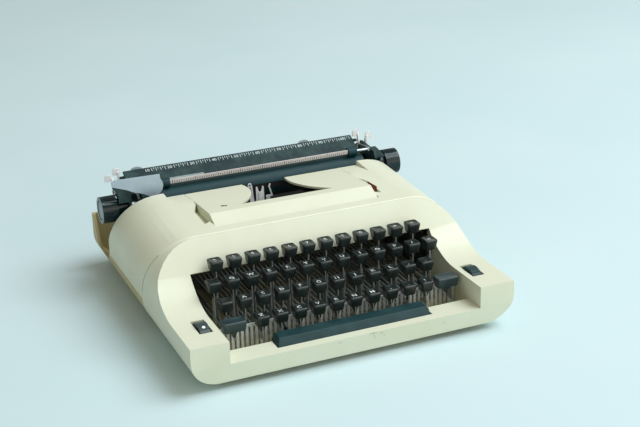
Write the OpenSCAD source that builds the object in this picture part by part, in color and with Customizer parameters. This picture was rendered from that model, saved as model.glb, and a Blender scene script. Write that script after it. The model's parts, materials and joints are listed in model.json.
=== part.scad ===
// Portable typewriter, millimetres, +Z up, front towards -Y.
// Inside the modules Y is counted from the front face of the wings; placed() centres the depth.

/* [Body] */
// Width over the side walls
body_w = 330; // [320:1:345]
// Depth from the wing fronts to the rear wall
body_d = 340; // [336:1:350]
// Height of the housing's top at its rear edge
top_z = 105.5; // [104:0.5:107]
// Fall of the top towards the front, in degrees
top_tilt = 2.4; // [2:0.1:2.6]
// How far the front leans back at its foot
front_lean = 5; // [4:0.2:6]
// Wall thickness of the moulded shells
wall = 3; // [2.5:0.1:3.4]
// Shoulder radius in front view
shoulder_r = 50; // [44:1:54]
// Lower corner radius in front view
corner_r = 28; // [24:1:30]
// Gap at the parting lines between shells
seam = 0.3; // [0.2:0.05:0.5]
// Height of the flat front wings
wing_z = 49; // [47:0.5:51]
// Height of the front rail
rail_z = 27; // [25:0.5:28]
// Depth of the front rail
rail_d = 25; // [22:1:27]
// Height of the parting line over the base
part_z = 36; // [34:0.5:40]
// Height of the base's rear wall
rear_z = 60; // [50:1:61]

/* [Feet] */
// Height of the rubber feet
foot_h = 7; // [6:0.5:8]
// Radius of the rubber feet
foot_r = 10; // [7:0.5:12]
// Distance of the feet from the centre plane
foot_x = 118; // [100:1:122]

/* [Keyboard] */
// Key pitch along a row
key_pitch = 19.05; // [18.5:0.05:19.5]
// Distance between rows, front to back
row_step_y = 18.8; // [18:0.1:19.5]
// Rise from row to row
row_step_z = 12.7; // [11:0.1:13]
// Height of the lowest row's cap tops
key_top_z = 47.6; // [47:0.1:50]
// Cap width where it is widest
cap_w = 14.4; // [13:0.1:15]
// Cap height
cap_h = 10.5; // [8:0.1:11]
// Lever thickness
lever_t = 1.2; // [0.8:0.1:1.6]
// Lever height
lever_h = 4; // [3:0.1:4.4]
// Fulcrum shaft radius
shaft_r = 2; // [1.5:0.1:2.2]
// Room between the outer levers and the sides of the keyboard well
well_room = 8.9; // [8.4:0.1:9.9]

/* [Carriage] */
// Platen axis, from the wing fronts
platen_y = 271; // [270.5:0.1:272]
// Platen axis height
platen_z = 87.5; // [86:0.1:90]
// Platen radius
platen_r = 15; // [12:0.1:15.4]
// Room between the platen and an end plate
platen_room = 12; // [8:0.5:24]
// Platen shaft radius
spindle_r = 4; // [3:0.1:5]
// Knob radius
knob_r = 14.2; // [13:0.1:14.3]
// Width over the two knobs
knobs_w = 342; // [341:1:348]
// Length of a knob
knob_l = 16.5; // [12:0.5:16.5]
// Length of the collar between a knob and its end plate
collar_l = 11.5; // [11.2:0.1:13]
// Carriage end plate thickness
end_t = 3; // [2:0.1:3.4]

/* [Cover] */
// Width of the ribbon cover
cover_w = 176; // [170:1:178]
// Ridge height of the ribbon cover
ridge_z = 108; // [107.4:0.1:109]
// Hinge rod radius
hinge_r = 1.2; // [1:0.05:1.3]

/* [Type action] */
// Typebar length from pivot to type face
typebar_l = 50; // [48:0.5:51]
// Number of typebars
typebar_count = 44; // [40:1:44]
// Typebar thickness
typebar_t = 1; // [0.8:0.05:1.1]
// Ribbon spool radius
spool_r = 20; // [16:0.5:21]
// Running clearance of pins and shafts
run_c = 0.05; // [0.03:0.01:0.08]
// Gap between moving pieces
gap = 0.3; // [0.2:0.05:0.4]

/* [Hidden] */
$fn = 48;

cream = "#E3E5C9";
dark = "#1F2B2C";
slate = "#3B4F57";
steel = "#9FB4BA";
ink = "#2E3F42";

half_w = body_w / 2;
floor_z = foot_h + wall;
shift_u = 6.25;
well_x = shift_u * key_pitch + well_room;
// The frame's side plates stand outside the well, and the lower corners turn outside the plates
frame_c = 3;
plate_t = 2;
plate_in = well_x + wall + frame_c;
plate_out = plate_in + plate_t;
low_r = min(corner_r, half_w - plate_out - 1);
sweep_y = 55;
brow_y = 107;
brow_z = 72;
seam_top_y = 126.5;
seam_top_z = 103;
seam_low_y = 148;
seam_low_z = 46;
deck_y = 150;
rear_y = 242;
rear_low_y = 272;
arc_n = 10;
bar_over = 20;
floor_y0 = wall + front_lean;

// Points of an arc about c from angle a0 to a1
function arc(c, r, a0, a1, n = arc_n) =
  [for (i = [0:n]) c + r * [cos(a0 + (a1 - a0) * i / n), sin(a0 + (a1 - a0) * i / n)]];
// Right half of the front view, inset by a wall: the lower corners and the shoulders
function low_outline(in) = concat(arc([half_w - low_r, foot_h + low_r], low_r - in, -90, 0),
  [[half_w - in, top_z + bar_over]]);
function high_outline(in) = concat([[half_w - in, -bar_over]],
  arc([half_w - shoulder_r, top_z - shoulder_r], shoulder_r - in, 0, 90));
// Height of the top at y
function deck(y) = top_z - (rear_y - y) * tan(top_tilt);
// Y of the parting line between front shell and housing at height z
function seam_at(z) = seam_top_y + (seam_low_y - seam_top_y) * (seam_top_z - z) / (seam_top_z - seam_low_z);
function mirrored(pts) = concat(pts, [for (i = [len(pts) - 1:-1:0]) [-pts[i][0], pts[i][1]]]);
// Concave sweep from the wing to the brow above the keys
sweep_r = ((brow_y - sweep_y) ^ 2 + (brow_z - wing_z) ^ 2) / (2 * (brow_z - wing_z));
function sweep_pts(in) = arc([sweep_y, wing_z + sweep_r], sweep_r + in, -90,
  -90 + asin((brow_y - sweep_y) / sweep_r));

module placed() {
  translate([0, -body_d / 2, 0]) children();
}
// A (Y, Z) outline carried from x0 to x1
module plate_x(x0, x1, pts) {
  translate([x0, 0, 0]) rotate([90, 0, 90]) linear_extrude(x1 - x0) polygon(pts);
}
// An (X, Z) outline carried from y0 to y1
module plate_y(y0, y1, pts) {
  translate([0, y1, 0]) rotate([90, 0, 0]) linear_extrude(y1 - y0) polygon(pts);
}
// An (X, Y) outline carried from z0 to z1
module plate_z(z0, z1, pts) {
  translate([0, 0, z0]) linear_extrude(z1 - z0) polygon(pts);
}
module rod_x(x0, x1, y, z, r) {
  translate([x0, y, z]) rotate([0, 90, 0]) cylinder(h = x1 - x0, r = r);
}
module rod_y(y0, y1, x, z, r) {
  translate([x, y1, z]) rotate([90, 0, 0]) cylinder(h = y1 - y0, r = r);
}
module block(a, b) {
  translate(a) cube(b - a);
}
module both_sides() {
  children();
  mirror([1, 0, 0]) children();
}
module body_bar(y0, y1, in) {
  intersection() {
    plate_y(y0, y1, mirrored(low_outline(in)));
    translate([0, rear_y, top_z]) rotate([top_tilt, 0, 0]) translate([0, -rear_y, -top_z])
      plate_y(y0 - bar_over, y1 + bar_over, mirrored(high_outline(in)));
  }
}

// Shells
foot_front_y = 40;
foot_rear_y = body_d - 40;
floor_x = half_w - low_r - 2;
wheel_y = 40;
wheel_slot_w = 13;
wheel_out = 24.5;
wheel_c = 0.5;
wheel_x = max(half_w - wheel_out, well_x + wall + wheel_slot_w / 2 + wheel_c);
wheel_r = 17;
wheel_axis_z = wing_z - wheel_r + 3.5;
wheel_slot_l = 2 * sqrt(wheel_r ^ 2 - (wing_z - wall - wheel_axis_z) ^ 2) + 1.2;
wheel_pin_r = 2;
wheel_t = 10;
tray_in = 22;
tray_z = 25;
lip_in = 6;
tray_y = body_d - tray_in;
spring_post = [-90, tray_y];
escape_post = [0, tray_y];
post_r = 3;
post_h = 18;

module base_pan() {
  color(cream) placed() {
    difference() {
      union() {
        intersection() {
          body_bar(deck_y + seam, body_d, 0);
          plate_x(-half_w, half_w, [[deck_y, 0], [deck_y, part_z - seam], [rear_low_y + 3, part_z - seam],
            [rear_low_y + 9, tray_z], [tray_y, tray_z], [body_d - lip_in, rear_z], [body_d, rear_z],
            [body_d, 0]]);
        }
        block([-floor_x + seam, floor_y0 + seam, foot_h], [floor_x - seam, deck_y + 1, floor_z]);
      }
      intersection() {
        body_bar(deck_y, body_d - wall, wall);
        block([-half_w, deck_y, floor_z], [half_w, body_d - wall, top_z]);
      }
    }
    for (p = [spring_post, escape_post])
      translate([p[0], p[1], floor_z - 0.5]) cylinder(h = post_h, r = post_r);
  }
}

function front_profile(in) = concat(
  [[front_lean + foot_h / 4 + in, 0], [in, rail_z - in], [in, wing_z - in], [sweep_y, wing_z - in]],
  sweep_pts(in),
  [[seam_top_y + 3 * in, seam_top_z - in], [seam_low_y + 3 * in, seam_low_z], [deck_y + in, part_z],
    [deck_y + in, 0]]);
bar_arms = [-11.5 * key_pitch / 4, 15.5 * key_pitch / 4];
bar_x0 = bar_arms[0] - 22.2;
bar_x1 = bar_arms[1] + 5.7;
bar_room = 1.5;

module front_shell() {
  color(cream) placed() difference() {
    intersection() {
      body_bar(0, deck_y, 0);
      plate_x(-half_w, half_w, front_profile(0));
    }
    difference() {
      intersection() {
        body_bar(wall, deck_y + 1, wall);
        plate_x(-half_w, half_w, front_profile(wall));
      }
      both_sides() block([well_x, 0, floor_z], [well_x + wall, brow_y + wall, top_z]);
      block([-well_x, 0, floor_z], [well_x, rail_d, rail_z]);
    }
    block([-floor_x, floor_y0, 0], [floor_x, deck_y + 1, floor_z]);
    block([-well_x, -1, rail_z], [well_x, brow_y, top_z]);
    block([-well_x, rail_d, floor_z - 1], [well_x, brow_y, top_z]);
    block([-well_x, brow_y - 1, floor_z - 1], [well_x, brow_y + 4 * wall, brow_z - 0.4]);
    block([bar_x0 - bar_room, space_y0 - bar_room, floor_z - 1], [bar_x1 + bar_room, rail_d + 1, top_z]);
    both_sides() block([wheel_x - wheel_slot_w / 2, wheel_y - wheel_slot_l / 2, wing_z - wall - 1],
      [wheel_x + wheel_slot_w / 2, wheel_y + wheel_slot_l / 2, top_z]);
  }
  color(cream) placed() both_sides()
    rod_x(well_x + wall - 0.5, wheel_x + wheel_t / 2 + 1, wheel_y, wheel_axis_z, wheel_pin_r);
}

cover_x = cover_w / 2;
cover_front_y = 142.3;
ridge_y = 160;
cover_rear_z = 101;
cover_mid_y = 204;
cover_mid_z = 104.9;
notch_w = 8;
notch_y0 = 151;
notch_y1 = 185;
notch_z = 96;
notch_slant = [6, 18];
step_x = 110;
step_y = 212;
step_z = 97.4;
cover_low_z = 80;

module top_housing() {
  color(cream) placed() {
    difference() {
      union() {
        difference() {
          intersection() {
            body_bar(seam_top_y - 2, rear_low_y, 0);
            plate_x(-half_w, half_w, housing_profile);
          }
          intersection() {
            body_bar(seam_top_y - 3, rear_low_y + 1, wall);
            block([-half_w, 0, 0], [half_w, body_d, top_z]);
          }
        }
        both_sides() {
          block([cover_x + seam, notch_y0 - 2, notch_z - 2],
            [cover_x + notch_w + 2, notch_y1 + notch_slant[1] + 2, deck(notch_y0) - 1]);
          block([lug_x, cover_front_y - 2, hinge_z - 3.4], [lug_x + lug_w, hinge_y + 4, deck(hinge_y) - 1]);
          block([cover_x + seam, step_y - 4, step_z], [step_x + 3, rear_y + 1, deck(step_y) - 1]);
        }
      }
      block([-cover_x - seam, cover_front_y - 1.6, cover_low_z], [cover_x + seam, rear_low_y, top_z + 1]);
      plate_x(-step_x, step_x, [[step_y, deck(step_y)], [rear_y + 2, cover_rear_z - 0.6],
        [rear_y + 2, top_z + 2], [step_y, top_z + 2]]);
      both_sides() plate_z(notch_z, top_z + 1, [[cover_x, notch_y0 + notch_slant[0]],
        [cover_x + notch_w, notch_y0], [cover_x + notch_w, notch_y1], [cover_x, notch_y1 + notch_slant[1]]]);
      rod_x(-half_w, half_w, hinge_y, hinge_z, hinge_r + run_c);
    }
  }
}
housing_profile = [[seam_at(top_z + 1) + seam, top_z + 1], [seam_low_y + seam, seam_low_z],
  [deck_y + seam, part_z], [rear_low_y, part_z], [rear_low_y - 1, 53], [rear_low_y - 12, 69],
  [rear_low_y - 18, 82], [rear_y, top_z + 1]];

hinge_y = 144.2;
hinge_z = deck(hinge_y) - 3.7;
lug_x = cover_x + seam;
lug_w = 5;
knuckle_w = 8;
knuckle_r = 2.2;
lip_z = deck(hinge_y) - 1.6;
skin = 2.4;

module cover_hinge_rod() {
  color(steel) placed() rod_x(-lug_x - lug_w, lug_x + lug_w, hinge_y, hinge_z, hinge_r);
}

lobe_r = 67;
lobe_x = 90;
lobe_y = 228;
basket_x = 60;
basket_y = 173.5;
skirt_z = 97.5;
skirt_y1 = notch_y1 + notch_slant[1] - 1;

module ribbon_cover() {
  rear = rear_y - seam;
  color(cream) placed() difference() {
    union() {
      plate_x(-cover_x, cover_x, [[cover_front_y, lip_z], [ridge_y, ridge_z], [cover_mid_y, cover_mid_z],
        [rear, cover_rear_z], [rear, cover_rear_z - skin], [cover_mid_y, cover_mid_z - skin],
        [ridge_y, ridge_z - skin], [cover_front_y + 4, lip_z]]);
      both_sides() {
        plate_x(cover_x - skin, cover_x, [[hinge_y + 6, skirt_z], [hinge_y + 6, lip_z + 1],
          [ridge_y, ridge_z - 1], [skirt_y1, cover_mid_z - 1], [skirt_y1, skirt_z]]);
        plate_x(cover_x - knuckle_w, cover_x - 0.5, [[hinge_y - 1.5, hinge_z], [hinge_y - 1, lip_z + 0.4],
          [hinge_y + 3.5, lip_z + 1], [hinge_y + 3.5, hinge_z + 1], [hinge_y + 1.5, hinge_z]]);
        rod_x(cover_x - knuckle_w, cover_x - 0.5, hinge_y, hinge_z, knuckle_r);
      }
    }
    difference() {
      block([-basket_x, basket_y, cover_low_z], [basket_x, rear_y + 1, ridge_z + 1]);
      for (s = [-1, 1]) translate([s * lobe_x, lobe_y, cover_low_z - 1])
        cylinder(h = ridge_z - cover_low_z + 3, r = lobe_r, $fn = 96);
    }
    rod_x(-cover_x, cover_x, hinge_y, hinge_z, hinge_r + run_c);
  }
}

module rubber_feet() {
  color(dark) placed() both_sides() for (y = [foot_front_y, foot_rear_y])
    translate([foot_x, y, 0]) cylinder(h = foot_h, r = foot_r);
}

// Frame
shaft_y = 235;
shaft_z = 23.5;
cross_y = 252.5;
cross_t = 2;
cross_z = 56;
frame_y0 = 62;
frame_y1 = 302;
rail_y0 = 279;
rail_y1 = 287;
rail_top = 59.7;
ribbon_deck = 80;
spool_x = 68;
spool_y = 202;
spool_z = 84;
spool_h = 11;
spool_post_r = 3;
platform_y0 = 178;
platform_y1 = 226;
screw_r = 2.5;
screw_h = 1.6;
screw_ys = [130, 200, 280];
flange_w = 10;
flange_t = 1.5;

module main_frame() {
  color(steel) placed() difference() {
    union() {
      both_sides() {
        plate_x(plate_in, plate_out, [[frame_y0, floor_z], [frame_y1, floor_z], [frame_y1, cross_z],
          [cross_y + 3.5, cross_z], [cross_y - 6.5, ribbon_deck], [platform_y0 - 20, ribbon_deck], [128, 50],
          [frame_y0, 32]]);
        block([plate_in - flange_w, brow_y + wall + 3, floor_z], [plate_in + 1, frame_y1, floor_z + flange_t]);
        block([spool_x - 22, platform_y0, ribbon_deck - plate_t], [plate_in + 1, platform_y1, ribbon_deck]);
        translate([spool_x, spool_y, ribbon_deck - 1])
          cylinder(h = spool_z + spool_h - ribbon_deck + 1, r = spool_post_r);
      }
      block([-plate_in - 1, cross_y, floor_z], [plate_in + 1, cross_y + cross_t, cross_z]);
      block([-plate_in - 1, frame_y1 - cross_t, floor_z], [plate_in + 1, frame_y1, cross_z]);
    }
    rod_x(-plate_in - 5, plate_in + 5, shaft_y, shaft_z, shaft_r + run_c);
  }
}

module frame_screws() {
  color(steel) placed() both_sides() for (y = screw_ys)
    translate([plate_in - flange_w / 2, y, floor_z + flange_t]) difference() {
      cylinder(h = screw_h, r = screw_r);
      translate([-screw_r, -0.4, screw_h - 0.6]) cube([2 * screw_r, 0.8, 1]);
    }
}

module carriage_rail() {
  color(steel) placed() block([-plate_out, rail_y0, cross_z], [plate_out, rail_y1, rail_top]);
}

module key_fulcrum_shaft() {
  color(steel) placed() rod_x(-plate_out, plate_out, shaft_y, shaft_z, shaft_r);
}

comb_y = 51.4;
comb_t = 1.4;
comb_z = 36;
slot_w = lever_t + 0.7;
lever_z0 = shaft_z - lever_h / 2;
slot_n = 25;

module key_comb() {
  color(steel) placed() difference() {
    block([-well_x + 1, comb_y, floor_z], [well_x - 1, comb_y + comb_t, comb_z]);
    for (i = [-slot_n:slot_n])
      translate([i * key_pitch / 4 - slot_w / 2, comb_y - 1, floor_z + 0.6])
        cube([slot_w, comb_t + 2, lever_z0 + lever_h + 7 - floor_z]);
    for (x = bar_arms)
      translate([x - slot_w / 2, comb_y - 1, floor_z + 0.6])
        cube([slot_w, comb_t + 2, lever_z0 + lever_h + 3 - floor_z]);
  }
}

// Keys
row_y0 = 43;
hub_w = 2;

// Lever from the fulcrum to the comb, at x, with a stem rising to zt at y
module lever(x, y, zt) {
  difference() {
    union() {
      block([x - lever_t / 2, min(y - 3, comb_y - 1.5), lever_z0],
        [x + lever_t / 2, shaft_y, lever_z0 + lever_h]);
      rod_x(x - lever_t / 2, x + lever_t / 2, shaft_y, shaft_z, shaft_r + hub_w);
      plate_x(x - lever_t / 2, x + lever_t / 2, [[y - 3, lever_z0 + 1], [y - 2, zt + 1], [y + 2, zt + 1],
        [y + 6, lever_z0 + 1]]);
    }
    rod_x(x - 5, x + 5, shaft_y, shaft_z, shaft_r + run_c);
  }
}
// Side view of a cap: a narrow foot, widest near the top, rounded over into the rim
function cap_pts(c, w, z) = [[c - w / 2 + 0.9, z - cap_h], [c - w / 2, z - 3.5], [c - w / 2 + 0.3, z - 1.4],
  [c - w / 2 + 1.3, z], [c + w / 2 - 1.3, z], [c + w / 2 - 0.3, z - 1.4], [c + w / 2, z - 3.5],
  [c + w / 2 - 0.9, z - cap_h]];
// Cap with a dished top, its top at z, w wide
module cap(x, y, z, w) {
  difference() {
    intersection() {
      plate_y(y - cap_w, y + cap_w, cap_pts(x, w, z));
      plate_x(x - w, x + w, cap_pts(y, cap_w, z));
    }
    rod_x(x - w, x + w, y, z + dish_r - dish_d, dish_r);
  }
}
module key(u, row, w = cap_w, shift = 0) {
  y = row_y0 + row * row_step_y;
  z = key_top_z + row * row_step_z;
  lever(u * key_pitch, y, z - cap_h);
  cap(u * key_pitch + shift, y, z, w);
}
module keys(us, row) {
  color(dark) placed() for (u = us) key(u, row);
}
striking_u = 0.25;
dish_r = 24;
dish_d = 0.8;

module number_row_keys() { keys([for (i = [0:11]) i - 5.5], 3); }
module upper_row_keys() { keys([for (i = [1:11]) i - 6], 2); }
module home_row_keys() { keys([for (i = [0:10]) if (i != 5) i - 4.75], 1); }
module lower_row_keys() { keys([for (i = [0:9]) i - 4.25], 0); }
module striking_key() { keys([striking_u], 1); }
module tab_key() { keys([-6], 2); }
module backspace_key() { keys([6], 2); }
module shift_lock_key() { keys([-5.75], 1); }
shift_cap_w = 24;
shift_left_off = 10;
shift_right_off = -6;
module left_shift_key() { color(dark) placed() key(-shift_u, 0, shift_cap_w, shift_left_off); }
module right_shift_key() { color(dark) placed() key(shift_u, 0, shift_cap_w, shift_right_off); }
bail_y = 205;
module shift_frame_bar() {
  x = shift_u * key_pitch;
  color(steel) placed() {
    block([-x - 2, bail_y, lever_z0 - 8.5], [x + 2, bail_y + 4, lever_z0 - 3.5]);
    both_sides() block([x - 0.6, bail_y, lever_z0 - 4], [x + 0.6, bail_y + 4, lever_z0]);
  }
}

space_y0 = 11.5;
space_y1 = 30;
space_z0 = 20.5;
space_z1 = 33;

module space_bar() {
  color(slate) placed() {
    intersection() {
      plate_x(bar_x0, bar_x1, [[space_y0, space_z0], [space_y0, space_z1 - 7], [space_y0 + 5, space_z1],
        [space_y1 - 1, space_z1 + 0.5], [space_y1, space_z1 - 0.5], [space_y1, space_z0]]);
      plate_y(space_y0, space_y1, [[bar_x0, space_z0], [bar_x0, space_z1 - 6], [bar_x0 + 3, space_z1 + 0.5],
        [bar_x1 - 1.5, space_z1 + 0.5], [bar_x1, space_z1 - 2], [bar_x1, space_z0]]);
    }
    for (x = bar_arms) {
      difference() {
        union() {
          block([x - lever_t / 2, space_y0 + 4, lever_z0], [x + lever_t / 2, shaft_y, lever_z0 + lever_h]);
          rod_x(x - lever_t / 2, x + lever_t / 2, shaft_y, shaft_z, shaft_r + hub_w);
        }
        rod_x(x - 5, x + 5, shaft_y, shaft_z, shaft_r + run_c);
      }
    }
  }
}

// Thumb wheels
module thumb_wheel(s) {
  color(slate) placed() difference() {
    rod_x(s * wheel_x - wheel_t / 2, s * wheel_x + wheel_t / 2, wheel_y, wheel_axis_z, wheel_r);
    for (a = [0:15:345]) translate([s * wheel_x, wheel_y, wheel_axis_z]) rotate([a, 0, 0])
      translate([-wheel_t, wheel_r - 0.6, -0.5]) cube([2 * wheel_t, 2, 1]);
    rod_x(s * wheel_x - wheel_t, s * wheel_x + wheel_t, wheel_y, wheel_axis_z, wheel_pin_r + run_c);
  }
}
module ribbon_selector_wheel() { thumb_wheel(-1); }
module touch_wheel() { thumb_wheel(1); }

// Type action
print_z = 90;
pivot_y = 246;
seg_in = typebar_l - 4;
seg_out = typebar_l + 6;
seg_y0 = 240;
bar_a = 3;
bar_h = 4;
slug_w = 1.8;
slug_h = 8.6;
slug_l = 4;
seg_a = 70;

// A sector of a ring about the print point, from y0 to y1
module ring_sector(y0, y1, r0, r1, a0, a1) {
  plate_y(y0, y1, concat(arc([0, print_z], r1, a0, a1, 24), arc([0, print_z], r0, a1, a0, 24)));
}
// Carries its child, made at the lowest place, round the print point
module at_bar(i) {
  translate([0, 0, print_z]) rotate([0, -(i - typebar_count / 2) * bar_a, 0]) translate([0, 0, -print_z])
    children();
}
module segment() {
  color(steel) placed() difference() {
    ring_sector(seg_y0, cross_y - gap, seg_in, seg_out, -90 - seg_a, -90 + seg_a);
    for (i = [0:typebar_count - 1]) at_bar(i)
      block([-typebar_t / 2 - 0.25, seg_y0 - 1, print_z - typebar_l - 3.4],
        [typebar_t / 2 + 0.25, pivot_y + 3.4, print_z - seg_in + 2]);
  }
}
module typebar() {
  block([-typebar_t / 2, pivot_y - typebar_l, print_z - typebar_l - bar_h / 2],
    [typebar_t / 2, pivot_y, print_z - typebar_l + bar_h / 2]);
  rod_x(-typebar_t / 2, typebar_t / 2, pivot_y, print_z - typebar_l, 3);
  block([-slug_w / 2, pivot_y - typebar_l - slug_l / 2, print_z - typebar_l],
    [slug_w / 2, pivot_y - typebar_l + slug_l / 2, print_z - typebar_l + slug_h]);
}
module typebars() {
  color(steel) placed() for (i = [0:typebar_count - 1]) if (i != typebar_count / 2) at_bar(i) typebar();
}
module striking_typebar() {
  color(steel) placed() typebar();
}
rest_y0 = pivot_y - typebar_l - 3;
rest_y1 = rest_y0 + 10;
rest_r0 = typebar_l + bar_h / 2 + gap;
module typebar_rest() {
  color(dark) placed() {
    ring_sector(rest_y0, rest_y1, rest_r0, seg_out, -90 - seg_a, -90 + seg_a);
    ring_sector(rest_y0, seg_y0, rest_r0, seg_out, -90 - seg_a, -90 - seg_a + 3);
    ring_sector(rest_y0, seg_y0, rest_r0, seg_out, -90 + seg_a - 3, -90 + seg_a);
  }
}
guide_x = 4;
guide_y = 249.2;
guide_z = 72;
module type_guide() {
  color(steel) placed() both_sides() {
    block([guide_x, guide_y, print_z - seg_in + 0.7], [guide_x + 3, guide_y + 1.6, guide_z]);
  }
}
card_y = cross_y + 0.2;
card_t = 0.9;
card_x = 4.6;
card_z = 91;
card_notch_z = 86;
card_slot_z = 78;
card_slot_x = 1.5;
// Plate with a V notch that the type passes through, and a slot below it for the shifted type
module card_holder() {
  color("#EEF1EE") placed() plate_y(card_y, card_y + card_t, [[-card_x, cross_z], [card_x, cross_z],
    [card_x, card_z - 1], [card_x - 1, card_z], [card_x - 1.6, card_z], [card_slot_x, card_notch_z],
    [card_slot_x, card_slot_z], [-card_slot_x, card_slot_z], [-card_slot_x, card_notch_z],
    [-card_x + 1.6, card_z], [-card_x + 1, card_z], [-card_x, card_z - 1]]);
}
vib_t = 1.2;
vib_y = card_y - gap - vib_t;
vib_z = 66;
bar_low = 3;
post_pts = [[-12, 0], [-7.5, 0], [-7.5, 10], [-9.2, 28], [-10.4, 30.6], [-13, 30.6], [-14.2, 28.4], [-12, 10]];
wire_pts = [[6.5, 0], [11, 0], [11, 12.2], [14.3, 12.6], [10.9, 24.2], [12.2, 26.4], [11, 27.1], [9.3, 24.3],
  [12.4, 14.2], [6.5, 14.2]];
eye = [-11.7, 28.4];
eye_r = 1.1;
// Carrier with a flat post that ends in an eye on the left, and a bent wire on the right
module ribbon_vibrator() {
  color(steel) placed() translate([0, 0, vib_z]) difference() {
    union() {
      for (pts = [post_pts, wire_pts]) plate_y(vib_y, vib_y + vib_t, pts);
      block([post_pts[0][0], vib_y, 0], [wire_pts[1][0], vib_y + vib_t, bar_low]);
    }
    rod_y(vib_y - 1, vib_y + vib_t + 1, eye[0], eye[1], eye_r);
  }
}
module spool() {
  difference() {
    union() {
      cylinder(h = 1.2, r = spool_r);
      cylinder(h = spool_h, r = spool_r - 3);
      translate([0, 0, spool_h - 1.2]) cylinder(h = 1.2, r = spool_r);
    }
    translate([0, 0, -1]) cylinder(h = spool_h + 2, r = spool_post_r + run_c);
    for (a = [0:120:240]) rotate(a) translate([9, 0, spool_h - 3]) cylinder(h = 4, r = 2.5);
  }
}
module ribbon_spool_left() { color(dark) placed() translate([-spool_x, spool_y, spool_z]) spool(); }
module ribbon_spool_right() { color(dark) placed() translate([spool_x, spool_y, spool_z]) spool(); }
ribbon_t = 0.3;
ribbon_y = platen_y - platen_r - ribbon_t - gap;
ribbon_x = 24;
module ribbon() {
  band = [[-ribbon_x, ribbon_y], [ribbon_x, ribbon_y], [spool_x + 6, spool_y + spool_r + 1],
    [spool_x + 6, spool_y + spool_r + 1.3], [ribbon_x, ribbon_y + ribbon_t], [-ribbon_x, ribbon_y + ribbon_t],
    [-spool_x - 6, spool_y + spool_r + 1.3], [-spool_x - 6, spool_y + spool_r + 1]];
  color(dark) placed() plate_z(spool_z + 2, spool_z + spool_h - 2, band);
}

// Drives behind the frame
drum_r = 13;
module spring_drum() {
  color(steel) placed() translate([spring_post[0], spring_post[1], floor_z + gap]) difference() {
    cylinder(h = 14, r = drum_r);
    translate([0, 0, -1]) cylinder(h = 20, r = post_r + run_c);
    translate([0, 0, 4]) rotate_extrude() translate([drum_r - 1.5, 0]) square([2, 6]);
  }
}
escape_teeth = 18;
module escapement_wheel() {
  color(steel) placed() translate([escape_post[0], escape_post[1], floor_z + gap]) difference() {
    union() {
      cylinder(h = 10, r = 7);
      linear_extrude(3) polygon([for (i = [0:2 * escape_teeth - 1])
        (i % 2 == 0 ? 13 : 10.5) * [cos(180 * i / escape_teeth), sin(180 * i / escape_teeth)]]);
    }
    translate([0, 0, -1]) cylinder(h = 20, r = post_r + run_c);
  }
}
bell_x = 90;
module bell() {
  color("#C9B36A") placed() translate([bell_x, spring_post[1], floor_z]) {
    cylinder(h = 6, r = 3);
    translate([0, 0, 5]) rotate_extrude() polygon([[0, 0], [0, 1.5], [9, 1.5], [12.5, 8], [13.5, 8], [10, 0]]);
  }
}

// Carriage
end_x = knobs_w / 2 - knob_l - collar_l;
end_in = end_x - end_t;
platen_l = 2 * (end_in - platen_room);
truss_z0 = rail_top + gap;
truss_z1 = 64;
truss_y0 = 275;
truss_y1 = 292;
feed_r = 5;
feed_l = 36;
feed_x = 80;
feed_pin_r = 1.5;
feed_a = -60;
feed_d = platen_r + feed_r + gap;
feed_y = platen_y + feed_d * cos(feed_a);
feed_z = platen_z + feed_d * sin(feed_a);
margin_y = 306;
margin_z = 90;
margin_r = 2.5;
bail_pivot = [290, 103];
release_pivot = [294, 92];
paper_pivot = [298, 97];
pivot_r = 2;
arm_t = 1.8;
arm_room = 5;
arm_x = end_in - arm_room;
// Side view of an end plate, about the platen axis
end_pts = [for (p = [[-6, -15.5], [-12, -1.5], [-13, 11.5], [-9, 18.5], [27, 20.5], [40, 12.5], [40, -3.5]])
  [platen_y, platen_z] + p];

module carriage_frame() {
  color(ink) placed() {
    difference() {
      union() {
        both_sides() plate_x(end_in, end_x,
          concat(end_pts, [[truss_y1, truss_z0], [truss_y0 - 3, truss_z0]]));
        block([-end_in - 1, truss_y0, truss_z0], [end_in + 1, truss_y1, truss_z1]);
      }
      rod_x(-end_x - 1, end_x + 1, platen_y, platen_z, spindle_r + run_c);
      rod_x(-end_x - 1, end_x + 1, feed_y, feed_z, feed_pin_r + run_c);
    }
    both_sides() {
      rod_x(arm_x - 0.6, end_in + 1, bail_pivot[0], bail_pivot[1], pivot_r);
      rod_x(end_x - 1, end_x + arm_t + 1.2, release_pivot[0], release_pivot[1], pivot_r);
    }
    rod_x(end_in - arm_t - 0.8, end_in + 1, paper_pivot[0], paper_pivot[1], pivot_r);
  }
}

cover_t = 9;
cover_pts = [[258.5, 98.2], [262, 108], [284, 108], [284, 98.2]];
lever_pivot = [-end_x - 5, 102];
selector_pivot = [277, 103];
module end_cover_left() {
  color(ink) placed() {
    plate_x(-end_x - cover_t, -end_x, cover_pts);
    rod_y(blade_y - 0.8, blade_y + 9, lever_pivot[0], lever_pivot[1], pivot_r);
    rod_x(-end_x - cover_t - arm_t - 0.8, -end_x - cover_t + 1, selector_pivot[0], selector_pivot[1], pivot_r);
  }
}
module end_cover_right() {
  color(ink) placed() plate_x(end_x, end_x + cover_t, cover_pts);
}

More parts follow.
